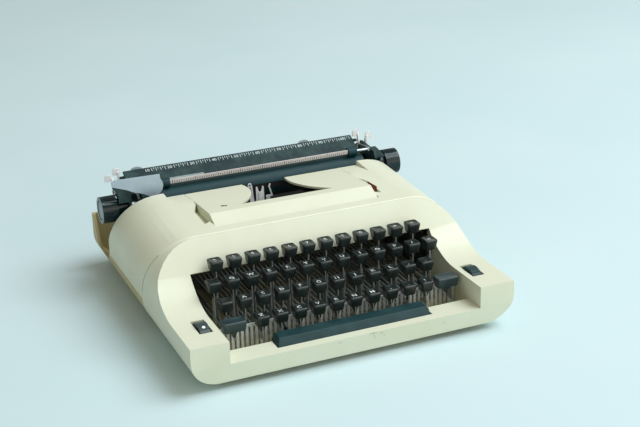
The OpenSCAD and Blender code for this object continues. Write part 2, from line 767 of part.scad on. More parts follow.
table_y0 = 287;
table_z0 = 100;
table_y1 = 311;
table_z1 = 112;
table_t = 2;
table_room = 6;
table_x = end_in - table_room;
module paper_table() {
  color(ink) placed() {
    plate_x(-table_x, table_x, [[table_y0, table_z0], [table_y1, table_z1],
      [table_y1 + 0.9, table_z1 - table_t], [table_y0 + 0.9, table_z0 - table_t]]);
    both_sides() block([table_x - 1, table_y1 - 5, table_z1 - 7.5], [end_in, table_y1 - 1, table_z1 - 5]);
  }
}
module paper_pan() {
  color(ink) placed() plate_x(-end_in, end_in, concat(arc([platen_y, platen_z], platen_r + 2.8, -25, 32),
    arc([platen_y, platen_z], platen_r + 1.6, 32, -25)));
}
module margin_rail() {
  color(steel) placed() rod_x(-end_in, end_in, margin_y, margin_z, margin_r);
}
stop_z = 114;
stop_r = 11;
module margin_stop(x) {
  color(steel) placed() translate([x, 0, 0]) {
    difference() {
      block([-6, margin_y - 5, margin_z - 4], [6, margin_y + 5, margin_z + 7]);
      rod_x(-10, 10, margin_y, margin_z, margin_r + run_c);
    }
    block([-6, margin_y, margin_z + 6], [6, table_y1 + 3, margin_z + 8]);
    intersection() {
      block([-6, table_y1 + 1.6, margin_z + 6], [6, table_y1 + 3, stop_z]);
      rod_y(table_y1, table_y1 + 4, 0, stop_z - stop_r, stop_r);
    }
  }
}
margin_left_in = 22;
margin_right_in = 63;
module margin_stop_left() { margin_stop(margin_left_in - end_in); }
module margin_stop_right() { margin_stop(end_in - margin_right_in); }

module feed_rollers() {
  color(dark) placed() {
    rod_x(-end_x + 0.5, end_x - 0.5, feed_y, feed_z, feed_pin_r);
    for (i = [-1:1]) rod_x(i * feed_x - feed_l / 2, i * feed_x + feed_l / 2, feed_y, feed_z, feed_r);
  }
}
module platen_roller() {
  color(slate) placed() difference() {
    rod_x(-platen_l / 2, platen_l / 2, platen_y, platen_z, platen_r);
    rod_x(-platen_l, platen_l, platen_y, platen_z, spindle_r + run_c);
  }
}
spindle_x = knobs_w / 2 - 3;
module platen_shaft() {
  color(steel) placed() rod_x(-spindle_x, spindle_x, platen_y, platen_z, spindle_r);
}
collar_r = 10;
module knob(s) {
  color(dark) placed() mirror([s < 0 ? 1 : 0, 0, 0]) difference() {
    union() {
      rod_x(knobs_w / 2 - knob_l, knobs_w / 2, platen_y, platen_z, knob_r);
      rod_x(end_x + gap, knobs_w / 2 - knob_l + 1, platen_y, platen_z, collar_r);
    }
    for (a = [0:12:348]) translate([knobs_w / 2 - knob_l / 2, platen_y, platen_z]) rotate([a, 0, 0])
      translate([-knob_l / 2 + 2, knob_r - 0.5, -0.5]) cube([knob_l - 5, 2, 1]);
    rod_x(knobs_w / 2 - 0.8, knobs_w / 2 + 1, platen_y, platen_z, knob_r - 4);
    rod_x(0, spindle_x + run_c, platen_y, platen_z, spindle_r + run_c);
  }
}
module knob_left() { knob(-1); }
module knob_right() { knob(1); }
ratchet_teeth = 24;
module ratchet_wheel() {
  x = -platen_l / 2 - 4;
  color(steel) placed() difference() {
    translate([x, platen_y, platen_z]) rotate([0, 90, 0]) linear_extrude(3)
      polygon([for (i = [0:2 * ratchet_teeth - 1])
        (i % 2 == 0 ? 13 : 11.4) * [cos(180 * i / ratchet_teeth), sin(180 * i / ratchet_teeth)]]);
    rod_x(x - 1, x + 5, platen_y, platen_z, spindle_r + run_c);
  }
}

blade_t = 1.4;
blade_y = 255;
blade_hub = 2.8;
// Outline of the blade, about its pin
blade_pts = concat([[-6, -4], [-6, 4], [-12, 13], [-13, 19], [-9, 21.5], [39, 20.5]],
  arc([31, 8.5], 11, 40, -110), [[20, 2], [10, 5.5], [6, 2], [6, -4]]);
module return_lever() {
  color(steel) placed() difference() {
    union() {
      plate_y(blade_y, blade_y + blade_t, [for (p = blade_pts) lever_pivot + p]);
      rod_y(blade_y, blade_y + blade_hub, lever_pivot[0], lever_pivot[1], pivot_r + 2);
    }
    rod_y(blade_y - 1, blade_y + blade_hub + 1, lever_pivot[0], lever_pivot[1], pivot_r + run_c);
  }
}
// Small lever about an X pin at p, with a round-topped thumb pad at t that stands out to xc
module tab_lever(x0, p, t, xc) {
  color(steel) placed() difference() {
    union() {
      rod_x(x0, x0 + arm_t, p[0], p[1], 4);
      plate_x(x0, x0 + arm_t, [[p[0] - 3, p[1]], [t[0] - 1, t[1]], [t[0] + 2, t[1]], [p[0] + 3, p[1]]]);
      rod_y(t[0], t[0] + pad_t, xc, t[1], pad_r);
      block([min(x0, xc - pad_r), t[0], t[1] - pad_h], [max(x0 + arm_t, xc + pad_r), t[0] + pad_t, t[1]]);
    }
    rod_x(x0 - 1, x0 + arm_t + 1, p[0], p[1], pivot_r + run_c);
  }
}
pad_t = 1.8;
pad_r = 4;
pad_h = 3.5;
// Each thumb pad: its place in side view, and how far it stands from the end plate
left_pad = [290, 120];
left_pad_out = 3;
right_pad = [290, 115.5];
right_pad_out = 4.4;
paper_pad = [300, 116.5];
paper_pad_in = 4;
selector_pad = [280, 117.5];
selector_pad_out = 5.5;
module carriage_release_left() {
  tab_lever(-end_x - gap - arm_t, release_pivot, left_pad, -end_x - left_pad_out);
}
module carriage_release_right() {
  tab_lever(end_x + gap, release_pivot, right_pad, end_x + right_pad_out);
}
module paper_release_lever() {
  tab_lever(end_in - gap - arm_t, paper_pivot, paper_pad, end_in - paper_pad_in);
}
module line_space_selector() {
  x = -end_x - cover_t;
  tab_lever(x - gap - arm_t, selector_pivot, selector_pad, x - selector_pad_out);
}

bail_rod_r = 1.8;
bail_roller_r = 5;
bail_a = 100;
bail_rod = [platen_y, platen_z] + (platen_r + bail_roller_r + gap) * [cos(bail_a), sin(bail_a)];
roller_l = 10.5;
scale_left_in = 39.5;
scale_right_in = 25;
scale_x0 = scale_left_in - arm_x;
scale_x1 = arm_x - scale_right_in;
scale_h = 4.8;
scale_t = 0.9;
module paper_bail() {
  color(steel) placed() difference() {
    union() {
      rod_x(-arm_x - arm_t, arm_x + arm_t, bail_rod[0], bail_rod[1], bail_rod_r);
      both_sides() plate_x(arm_x, arm_x + arm_t, [bail_rod + [-2, 2.6], bail_rod + [-2, -1.6],
        bail_pivot + [4, -4], bail_pivot + [4, 4]]);
    }
    rod_x(-end_x, end_x, bail_pivot[0], bail_pivot[1], pivot_r + run_c);
  }
}
module bail_rollers() {
  color(dark) placed() difference() {
    for (x = [scale_x0 - gap - roller_l, scale_x1 + gap])
      rod_x(x, x + roller_l, bail_rod[0], bail_rod[1], bail_roller_r);
    rod_x(-end_x, end_x, bail_rod[0], bail_rod[1], bail_rod_r + run_c);
  }
}
module bail_scale() {
  y = bail_rod[0] - bail_rod_r - run_c;
  z = bail_rod[1] - scale_h / 4;
  color("#E8DCD8") placed() block([scale_x0, y - scale_t, z], [scale_x1, y, z + scale_h]);
}

base_pan();
front_shell();
top_housing();
rubber_feet();
main_frame();
frame_screws();
key_comb();
key_fulcrum_shaft();
segment();
typebar_rest();
typebars();
striking_typebar();
type_guide();
ribbon_vibrator();
card_holder();
ribbon_spool_left();
ribbon_spool_right();
ribbon();
carriage_rail();
spring_drum();
escapement_wheel();
bell();
ribbon_selector_wheel();
touch_wheel();
space_bar();
number_row_keys();
upper_row_keys();
home_row_keys();
lower_row_keys();
striking_key();
tab_key();
backspace_key();
shift_lock_key();
left_shift_key();
right_shift_key();
shift_frame_bar();
ribbon_cover();
cover_hinge_rod();
carriage_frame();
end_cover_left();
end_cover_right();
paper_table();
paper_pan();
margin_rail();
margin_stop_left();
margin_stop_right();
feed_rollers();
platen_roller();
platen_shaft();
knob_left();
knob_right();
ratchet_wheel();
return_lever();
paper_release_lever();
carriage_release_left();
carriage_release_right();
line_space_selector();
paper_bail();
bail_rollers();
bail_scale();
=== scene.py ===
"""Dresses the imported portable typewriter: finishes, legends, scales and small trim, in metres, +Z up."""

import json
import logging
import math
from dataclasses import dataclass, field
from enum import Enum

import bmesh
import bpy
from bmesh.types import BMesh
from mathutils import Matrix, Vector


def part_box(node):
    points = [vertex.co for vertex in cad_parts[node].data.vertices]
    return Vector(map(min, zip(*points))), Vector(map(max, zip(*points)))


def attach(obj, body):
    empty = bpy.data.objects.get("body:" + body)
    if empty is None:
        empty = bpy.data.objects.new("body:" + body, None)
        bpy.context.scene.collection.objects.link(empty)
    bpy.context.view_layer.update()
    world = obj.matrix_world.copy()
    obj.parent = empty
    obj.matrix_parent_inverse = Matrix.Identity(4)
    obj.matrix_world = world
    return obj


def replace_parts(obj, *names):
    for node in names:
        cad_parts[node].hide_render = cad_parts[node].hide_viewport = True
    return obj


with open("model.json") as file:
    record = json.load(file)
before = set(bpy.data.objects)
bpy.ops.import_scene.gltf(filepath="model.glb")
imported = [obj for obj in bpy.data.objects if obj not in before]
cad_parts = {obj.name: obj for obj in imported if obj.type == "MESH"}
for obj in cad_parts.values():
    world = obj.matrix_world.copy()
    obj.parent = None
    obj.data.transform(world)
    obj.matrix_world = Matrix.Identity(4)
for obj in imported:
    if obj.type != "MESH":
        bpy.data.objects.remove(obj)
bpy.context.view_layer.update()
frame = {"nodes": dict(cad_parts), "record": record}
MM = 0.001
# Letters and numbers are thickened by this share of their height.
LEGEND_WEIGHT = 0.015
# Steps in each curved part of a letter.
LEGEND_STEPS = 2
# Edges of the added pieces that turn by more than this stay crisp.
SHARP_ANGLE = math.radians(50)
# Both sides of the machine, with the words that name them.
SIDES = ((-1, "left"), (1, "right"))
# Rows of two sizes or two coordinates.
Pairs = tuple[tuple[float, float], ...]
# Colour sockets of the Mix node, which has several sockets of one name.
MIX_FIRST, MIX_SECOND, MIX_RESULT = 6, 7, 2
# Noise of the patches, with the parts of its range over which the colour and the sheen change.
PATCH_DETAIL, PATCH_ROUGHNESS = 5.0, 0.6
PATCH_NOISE, SHEEN_NOISE = (0.38, 0.75), (0.3, 0.7)
# How far the roughness falls and rises over the patches, and its least value.
SHEEN_FALL, SHEEN_RISE, LEAST_ROUGHNESS = 0.08, 0.1, 0.02
# The fine grain: detail of its noise, strength of its relief and stretch of brushed or ground lines.
GRAIN_DETAIL, GRAIN_STRENGTH, LINE_STRETCH = 3.0, 0.6, 0.06
# What a weave's scale is divided by, which makes one wave about two grains long, and how far it bends.
WEAVE_DIVIDER, WEAVE_BEND = 6.0, 1.0
log = logging.getLogger("typewriter")


def mm(x: float, y: float, z: float) -> Vector:
    """A point given in millimetres, with Y counted from the centre of the depth."""
    return Vector((x, y, z)) * MM


def linear(hex_colour: str) -> tuple[float, float, float, float]:
    """Turns an sRGB hex colour into linear RGBA.

    Args:
        hex_colour: Six hex digits, with or without a leading #.

    Returns:
        Linear red, green and blue, with alpha 1.
    """
    digits = hex_colour.lstrip("#")
    srgb = [int(digits[i:i + 2], 16) / 255 for i in (0, 2, 4)]
    red, green, blue = (c / 12.92 if c <= 0.04045 else ((c + 0.055) / 1.055) ** 2.4 for c in srgb)
    return red, green, blue, 1.0


def add_node(tree: bpy.types.NodeTree, kind: str, settings: dict | None = None,
             links: dict | None = None) -> bpy.types.Node:
    """Adds one shader node with its settings and incoming links.

    Args:
        tree: The node tree that takes the node.
        kind: Blender's node type name.
        settings: Attribute names or input socket names with their values.
        links: Input socket names with the output sockets that feed them.

    Returns:
        The new node.
    """
    node = tree.nodes.new(kind)
    for name, value in (settings or {}).items():
        if hasattr(node, name):
            setattr(node, name, value)
        else:
            node.inputs[name].default_value = value
    for name, output in (links or {}).items():
        tree.links.new(output, node.inputs[name])
    return node


class Surface(Enum):
    """How a surface was made, which decides the pattern of its nodes."""

    MOULDED = "moulded"
    BRUSHED = "brushed"
    GROUND = "ground"
    WOVEN = "woven"


@dataclass(frozen=True)
class Finish:
    """One real material with the look that its making gives it.

    Attributes:
        name: Common name of the material and its making.
        colour: Main sRGB colour.
        second: Colour of its stains, dust or rubbed patches.
        surface: How the surface was made.
        grain_mm: Size of the fine grain in millimetres.
        patch_mm: Size of the colour patches in millimetres.
        patch_amount: Share of the second colour in the patches, 0 to 1.
        roughness: Typical roughness.
        metallic: 1 for a metal, less for a thin plating or a metal paint.
        ior: Index of refraction of a non-metal.
        relief_mm: Height of the grain in millimetres.
    """

    name: str
    colour: str
    second: str
    surface: Surface = Surface.MOULDED
    grain_mm: float = 0.8
    patch_mm: float = 40.0
    patch_amount: float = 0.5
    roughness: float = 0.45
    metallic: float = 0.0
    ior: float = 1.5
    relief_mm: float = 0.02

    def material(self) -> bpy.types.Material:
        """Builds the material once.

        Returns:
            The material, which every piece of this finish shares.
        """
        made = bpy.data.materials.get(self.name)
        if made:
            return made
        made = bpy.data.materials.new(self.name)
        made.use_nodes = True
        tree = made.node_tree
        tree.nodes.clear()
        place = add_node(tree, "ShaderNodeTexCoord").outputs["Object"]
        space = add_node(tree, "ShaderNodeMapping", {"Scale": self._stretch()}, {"Vector": place})
        patches = add_node(tree, "ShaderNodeTexNoise", {
            "Scale": 1 / (self.patch_mm * MM), "Detail": PATCH_DETAIL,
            "Roughness": PATCH_ROUGHNESS}, {"Vector": place}).outputs["Fac"]
        amount = add_node(tree, "ShaderNodeMapRange", {
            "From Min": PATCH_NOISE[0], "From Max": PATCH_NOISE[1],
            "To Max": self.patch_amount}, {"Value": patches})
        colour = add_node(tree, "ShaderNodeMix", {"data_type": "RGBA"}, {"Factor": amount.outputs["Result"]})
        colour.inputs[MIX_FIRST].default_value = linear(self.colour)
        colour.inputs[MIX_SECOND].default_value = linear(self.second)
        rough = add_node(tree, "ShaderNodeMapRange", {
            "From Min": SHEEN_NOISE[0], "From Max": SHEEN_NOISE[1],
            "To Min": max(self.roughness - SHEEN_FALL, LEAST_ROUGHNESS),
            "To Max": min(self.roughness + SHEEN_RISE, 1.0)}, {"Value": patches})
        bump = add_node(tree, "ShaderNodeBump", {
            "Strength": GRAIN_STRENGTH, "Distance": self.relief_mm * MM},
            {"Height": self._grain(tree, space.outputs["Vector"])})
        shader = add_node(tree, "ShaderNodeBsdfPrincipled", {"Metallic": self.metallic}, {
            "Base Color": colour.outputs[MIX_RESULT], "Roughness": rough.outputs["Result"],
            "Normal": bump.outputs["Normal"]})
        if not self.metallic:
            shader.inputs["IOR"].default_value = self.ior
        add_node(tree, "ShaderNodeOutputMaterial", links={"Surface": shader.outputs["BSDF"]})
        return made

    def _stretch(self) -> tuple[float, float, float]:
        """Scale of the grain space along each axis: brushed and ground work runs along X."""
        lined = self.surface in (Surface.BRUSHED, Surface.GROUND)
        return (LINE_STRETCH if lined else 1.0, 1.0, 1.0)

    def _grain(self, tree: bpy.types.NodeTree, space: bpy.types.NodeSocket) -> bpy.types.NodeSocket:
        """Adds the fine grain.

        Args:
            tree: The material's node tree.
            space: Vector output that the grain reads.

        Returns:
            Height output of the grain.
        """
        scale = 1 / (self.grain_mm * MM)
        if self.surface is Surface.WOVEN:
            weave = add_node(tree, "ShaderNodeTexWave", {
                "Scale": scale / WEAVE_DIVIDER, "Distortion": WEAVE_BEND}, {"Vector": space})
            return weave.outputs["Fac"]
        noise = add_node(tree, "ShaderNodeTexNoise", {"Scale": scale, "Detail": GRAIN_DETAIL},
                         {"Vector": space})
        return noise.outputs["Fac"]


# Satin ABS yellows a little in patches and keeps a fine spark-eroded grain from the mould.
CREAM_ABS = Finish("cream_abs_moulded", "#E2E5D0", "#D7D8BA", grain_mm=0.7, patch_mm=60, roughness=0.42,
                   relief_mm=0.03)
# Doubleshot key plastic is near black with a blue-green cast and a soft sheen from use.
KEY_PLASTIC = Finish("key_abs_moulded", "#16201F", "#2C3938", grain_mm=0.6, patch_mm=9, roughness=0.33)
# Slate plastic of the space bar and the right thumb wheel is dusty along its length.
SLATE_PLASTIC = Finish("slate_abs_moulded", "#18383C", "#2F4D51", grain_mm=0.7, patch_mm=14,
                       patch_amount=0.6, roughness=0.42, ior=1.35)
# Ground rubber shows faint lines along the roller and wipes to grey.
PLATEN_RUBBER = Finish("platen_rubber_ground", "#0B343A", "#234C52", Surface.GROUND, grain_mm=0.6,
                       patch_mm=18, patch_amount=0.6, roughness=0.5, ior=1.35)
# Stove enamel on sheet steel has a slight orange peel, drawn coarse enough to show, and holds grey dust.
BLACK_ENAMEL = Finish("black_enamel_sprayed", "#122C30", "#47625F", grain_mm=1.6, patch_mm=16,
                      patch_amount=0.7, roughness=0.6, ior=1.4)
# Zinc-plated sheet steel is dull grey with darker oil stains.
ZINC_STEEL = Finish("zinc_steel_plated", "#8E989B", "#59605F", Surface.BRUSHED, grain_mm=0.5, patch_mm=7,
                    patch_amount=0.6, metallic=1.0, relief_mm=0.01)
# Ground rods are brighter than the sheet.
BRIGHT_STEEL = Finish("bright_steel_ground", "#B4BCBE", "#868E90", Surface.GROUND, grain_mm=0.4, patch_mm=9,
                      patch_amount=0.4, roughness=0.28, metallic=1.0, relief_mm=0.008)
# White moulding of the card holder is clean and glossy.
WHITE_PLASTIC = Finish("white_acetal_moulded", "#FDFEFD", "#F0F3F1", patch_mm=10, roughness=0.35)
# Printed scale strip has a pinkish paper-white ground.
SCALE_STRIP = Finish("scale_strip_printed", "#D8D5D4", "#C2BDBC", patch_mm=12, roughness=0.5)
# Moulded rubber is matt and picks up dust.
FOOT_RUBBER = Finish("foot_rubber_moulded", "#1A1A1A", "#2B2B2A", grain_mm=1.0, patch_mm=6, roughness=0.8)
# Pressed felt is dull, with a fibre pattern drawn coarse enough to show.
FELT = Finish("black_felt_pressed", "#191A1A", "#2A2B2B", Surface.WOVEN, patch_mm=5, roughness=0.95,
              relief_mm=0.1)
# Inked cotton ribbon is black with a fine weave.
INKED_FABRIC = Finish("inked_ribbon_woven", "#0E0F12", "#1B1C20", Surface.WOVEN, grain_mm=0.5, patch_mm=5,
                      roughness=0.8, relief_mm=0.05)
# Spun brass shows turning lines and browns in patches.
BRASS = Finish("bell_brass_spun", "#C8A85A", "#94793C", Surface.GROUND, grain_mm=0.4, patch_mm=8,
               roughness=0.3, metallic=1.0)
# Key levers are bare steel strip, stained by handling and old oil, drawn light grey and half metallic as
# painted highlights that make them read as light lines between the keys.
LEVERS_WITH_HIGHLIGHT = Finish("lever_steel_painted_glints", "#A5ACAA", "#6B6E69", Surface.BRUSHED, grain_mm=0.5, patch_mm=6,
                     patch_amount=0.7, roughness=0.5, metallic=0.4, relief_mm=0.01)
# The comb is sheet steel in pale grey primer, drawn near white as painted light for the light that falls on
# it under the keys.
LIT_COMB_PAINT = Finish("comb_primer_painted_light", "#DFE8EC", "#BBC6CA", patch_mm=9, roughness=0.6)
# Sun-yellowed ABS of the pan, drawn darker and browner than the shells above it: partly its yellowing, partly
# painted shade of the tray's walls.
AGED_SHADED_ABS = Finish("aged_abs_painted_shade", "#C3B688", "#A69763", grain_mm=0.7)
# Bright nickel on wire and tabs is smooth; it is drawn almost white and barely metallic, a painted highlight
# for its glare.
NICKEL_GLARE = Finish("nickel_painted_highlight", "#FBFDFD", "#EAF0F1", grain_mm=0.5, patch_mm=6, roughness=0.3,
                     metallic=0.05, relief_mm=0.008)
# The return lever is painted a cool silver over pressed steel.
LEVER_PAINT = Finish("silver_paint_sprayed", "#B3C7D8", "#A0B5C5", grain_mm=0.6, patch_mm=12, roughness=0.42,
                     metallic=0.25, relief_mm=0.012)
# Thin grey tabs of the margin stops and the bail are nearly the colour of what stands behind them.
CLEAR_TAB = Finish("grey_tab_moulded", "#B4C4C8", "#94A5AA", grain_mm=0.6, patch_mm=6, roughness=0.35)
# Knobs are polished black plastic with a hint of teal.
KNOB_PLASTIC = Finish("knob_abs_polished", "#0A2228", "#163238", grain_mm=0.9, patch_mm=10, roughness=0.14,
                      ior=1.42, relief_mm=0.006)
# Shift keys and the left thumb wheel are a greyer slate than the space bar.
PALE_SLATE = Finish("pale_slate_abs_moulded", "#22373B", "#3B5155", grain_mm=0.7, patch_mm=10, roughness=0.36)
# Scuffs are rubbed-in grey grime.
SCUFF = Finish("grime_rubbed", "#9DA18A", "#B4B8A0", grain_mm=0.6, patch_mm=3, roughness=0.7)
# A dull olive brown bead along the lower seam is painted shade in the step below the housing's lip.
SEAM_SHADE = Finish("seam_dust_packed", "#8B8A66", "#A09E78", grain_mm=0.5, patch_mm=5, roughness=0.9)
# The rounded lip of a moulding is drawn lighter than the cream, as a painted highlight where it catches the
# light.
RIM_HIGHLIGHT = Finish("rim_painted_highlight", "#F6F5E2", "#ECEACD", grain_mm=0.7, patch_mm=30, roughness=0.35)
# A red-brown woven sheet on the notch's outer wall is painted shade of that wall.
NOTCH_SHADE_BROWN = Finish("notch_wall_painted_shade", "#7A3A20", "#5C2C1A", Surface.WOVEN, grain_mm=0.7, patch_mm=5,
                    roughness=0.95, relief_mm=0.05)
# Legends are moulded through in white that has greyed a little.
LEGEND_INK = Finish("legend_white_moulded", "#E6ECEB", "#C9D2D1", patch_mm=4, roughness=0.5)
# Printed ticks are matt and a little worn.
TICK_BLACK = Finish("tick_ink_printed", "#2C3032", "#484C4E", grain_mm=0.5, patch_mm=3, roughness=0.7)
TICK_WHITE = Finish("tick_paint_printed", "#CFDADB", "#9FACAE", grain_mm=0.5, patch_mm=3, roughness=0.6)
# Moulded knob caps are a mid grey that shows fingermarks.
GREY_PLASTIC = Finish("grey_abs_moulded", "#8F9CA3", "#76838A", grain_mm=0.6, patch_mm=7, roughness=0.4)

SLOT_FINISH = {
    "cream_abs": CREAM_ABS, "foot_rubber": FOOT_RUBBER, "steel_plate": ZINC_STEEL,
    "bright_steel": BRIGHT_STEEL, "black_enamel": BLACK_ENAMEL,
    "key_plastic": KEY_PLASTIC, "slate_plastic": SLATE_PLASTIC, "black_felt": FELT,
    "platen_rubber": PLATEN_RUBBER, "white_plastic": WHITE_PLASTIC, "bell_brass": BRASS,
    "ribbon_fabric": INKED_FABRIC,
}


@dataclass(frozen=True)
class Softbox:
    """One soft square lamp.

    Attributes:
        name: Name of the lamp.
        place_mm: Where it hangs, in millimetres.
        edge: Length of its edge in metres.
        power: Power in watts.
        colour: sRGB colour of its light.
    """

    name: str
    place_mm: tuple[float, float, float]
    edge: float
    power: float
    colour: str


@dataclass
class Studio:
    """Camera at the photograph's view, soft lamps and a pale floor."""

    place_mm: tuple[float, float, float] = (-461.7, -1177.5, 586.7)
    azimuth: float = -22.85
    elevation: float = 21.53
    roll: float = -1.62
    lens_mm: float = 74.795
    sensor_mm: float = 36.0
    sight_m: float = 20.0
    aim_mm: tuple[float, float, float] = (0.0, 0.0, 50.0)
    lamps: tuple[Softbox, ...] = (
        Softbox("key_softbox", (1750, -800, 3100), 2.8, 129.0, "#F0F9FF"),
        Softbox("fill_softbox", (1000, -3000, 900), 2.6, 27.0, "#FFF6EA"))
    sky_colour: str = "#F0EBDC"
    sky_strength: float = 0.42
    # Coated paper has a faint mottle that is wider than the machine.
    floor: Finish = Finish("floor_paper", "#CDE4E9", "#DFEAEF", grain_mm=3, patch_mm=400, patch_amount=0.3,
                           roughness=0.7, relief_mm=0.01)
    floor_reach_m: float = 6.0

    def build(self) -> None:
        """Makes the camera, the lamps, the world and the floor."""
        self._camera()
        for softbox in self.lamps:
            self._lamp(softbox)
        self._world()
        self._floor()

    def _camera(self) -> None:
        """Looks along the photograph's line of sight."""
        turn, rise = math.radians(self.azimuth), math.radians(self.elevation)
        level = math.cos(rise)
        forward = Vector((-math.sin(turn) * level, math.cos(turn) * level, -math.sin(rise)))
        right = forward.cross(Vector((0, 0, 1))).normalized()
        up = right.cross(forward)
        spin = Matrix.Rotation(math.radians(-self.roll), 3, forward)
        right, up = spin @ right, spin @ up
        lens = bpy.data.cameras.new("photo_camera")
        lens.lens = self.lens_mm
        lens.sensor_width = self.sensor_mm
        lens.clip_end = self.sight_m
        camera = bpy.data.objects.new("photo_camera", lens)
        basis = Matrix((right, up, -forward)).transposed()
        camera.matrix_world = Matrix.Translation(mm(*self.place_mm)) @ basis.to_4x4()
        bpy.context.scene.collection.objects.link(camera)
        bpy.context.scene.camera = camera

    def _lamp(self, softbox: Softbox) -> None:
        """Hangs one lamp, pointed at the machine.

        Args:
            softbox: The lamp's sizes and place.
        """
        data = bpy.data.lights.new(softbox.name, "AREA")
        data.shape, data.size, data.energy = "SQUARE", softbox.edge, softbox.power
        data.color = linear(softbox.colour)[:3]
        lamp = bpy.data.objects.new(softbox.name, data)
        lamp.location = mm(*softbox.place_mm)
        lamp.rotation_euler = (mm(*self.aim_mm) - lamp.location).to_track_quat("-Z", "Y").to_euler()
        bpy.context.scene.collection.objects.link(lamp)

    def _world(self) -> None:
        """Pale even surroundings."""
        world = bpy.data.worlds.new("pale_room")
        world.use_nodes = True
        background = world.node_tree.nodes["Background"]
        background.inputs["Color"].default_value = linear(self.sky_colour)
        background.inputs["Strength"].default_value = self.sky_strength
        bpy.context.scene.world = world

    def _floor(self) -> None:
        """A wide pale sheet under the feet."""
        mesh = bpy.data.meshes.new("floor_sheet")
        reach = self.floor_reach_m
        corners = [(-reach, -reach, 0), (reach, -reach, 0), (reach, reach, 0), (-reach, reach, 0)]
        mesh.from_pydata(corners, [], [(0, 1, 2, 3)])
        floor = bpy.data.objects.new("floor_sheet", mesh)
        mesh.materials.append(self.floor.material())
        bpy.context.scene.collection.objects.link(floor)


def make_piece(name: str, shape: BMesh, finish: Finish, body: str) -> bpy.types.Object:
    """Turns a finished bmesh into a piece that rides on a body.

    Args:
        name: Name of the piece.
        shape: Its geometry, which is freed.
        finish: Its finish.
        body: The CAD body that carries it.

    Returns:
        The new object.
    """
    bmesh.ops.recalc_face_normals(shape, faces=shape.faces)
    mesh = bpy.data.meshes.new(name)
    shape.to_mesh(mesh)
    shape.free()
    mesh.materials.append(finish.material())
    for face in mesh.polygons:
        face.use_smooth = True
    mesh.set_sharp_from_angle(angle=SHARP_ANGLE)
    obj = bpy.data.objects.new(name, mesh)
    bpy.context.scene.collection.objects.link(obj)
    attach(obj, body)
    log.info("piece %s on %s", name, body)
    return obj


def add_prism(shape: BMesh, outline: list[Vector], depth: Vector) -> None:
    """Adds a closed prism.

    Args:
        shape: The bmesh that takes it.
        outline: Corners of one end face.
        depth: The way to the other end face.
    """
    near = [shape.verts.new(point) for point in outline]
    far = [shape.verts.new(point + depth) for point in outline]
    count = len(outline)
    shape.faces.new(near)
    shape.faces.new(far[::-1])
    for i in range(count):
        j = (i + 1) % count
        shape.faces.new((near[i], far[i], far[j], near[j]))


def add_loft(shape: BMesh, loops: list[list[Vector]]) -> None:
    """Skins a row of loops that have equally many points and closes both ends.

    Args:
        shape: The bmesh that takes it.
        loops: The loops' points, in metres.
    """
    rings = [[shape.verts.new(point) for point in loop] for loop in loops]
    for low, high in zip(rings, rings[1:]):
        for k in range(len(low)):
            j = (k + 1) % len(low)
            shape.faces.new((low[k], low[j], high[j], high[k]))
    shape.faces.new(rings[0][::-1])
    shape.faces.new(rings[-1])


def add_disc(shape: BMesh, centre: Vector, axis: Vector, rings: list[tuple[float, float]],
             sides: int = 48) -> None:
    """Adds a closed turned piece.

    Args:
        shape: The bmesh that takes it.
        centre: A point on its axis.
        axis: Direction of the axis.
        rings: Radius and height along the axis of each ring, in millimetres, from one end to the other.
        sides: Points of a ring.
    """
    turn = Vector((0, 0, 1)).rotation_difference(axis)
    angles = [2 * math.pi * k / sides for k in range(sides)]
    add_loft(shape, [[centre + turn @ mm(radius * math.cos(angle), radius * math.sin(angle), height)
                      for angle in angles] for radius, height in rings])


def add_faces(shape: BMesh, points: list[Vector], faces: list[list[int]]) -> None:
    """Adds faces that share points.

    Args:
        shape: The bmesh that takes them.
        points: The points, in metres.
        faces: Numbers of each face's points.
    """
    verts = [shape.verts.new(point) for point in points]
    for face in faces:
        shape.faces.new([verts[i] for i in face])


def glyph_points(text: str, height: float) -> tuple[list[Vector], list[list[int]]]:
    """Makes the flat outline mesh of a short legend, centred on the origin.

    Args:
        text: A few plain characters.
        height: Size of the letters in metres.

    Returns:
        Points and faces.
    """
    curve = bpy.data.curves.new("legend", "FONT")
    curve.body, curve.size = text, height
    curve.align_x, curve.align_y = "CENTER", "CENTER"
    curve.resolution_u = LEGEND_STEPS
    curve.offset = height * LEGEND_WEIGHT
    holder = bpy.data.objects.new("legend", curve)
    mesh = bpy.data.meshes.new_from_object(holder)
    points = [v.co.copy() for v in mesh.vertices]
    faces = [list(face.vertices) for face in mesh.polygons]
    bpy.data.objects.remove(holder)
    bpy.data.curves.remove(curve)
    bpy.data.meshes.remove(mesh)
    return points, faces


@dataclass
class KeyRow:
    """One group of keys that moves as a body.

    Attributes:
        node: The CAD node that the caps and levers stand for.
        body: The CAD body.
        units: Key places along X, in pitches.
        row: Row number from the front.
        legends: One legend for each key, empty for a bare cap.
        width_mm: Cap width.
        shift_mm: How far the cap stands beside its lever.
    """

    node: str
    body: str
    units: list[float]
    row: int
    legends: list[str]
    width_mm: float = 13.9
    shift_mm: float = 0.0


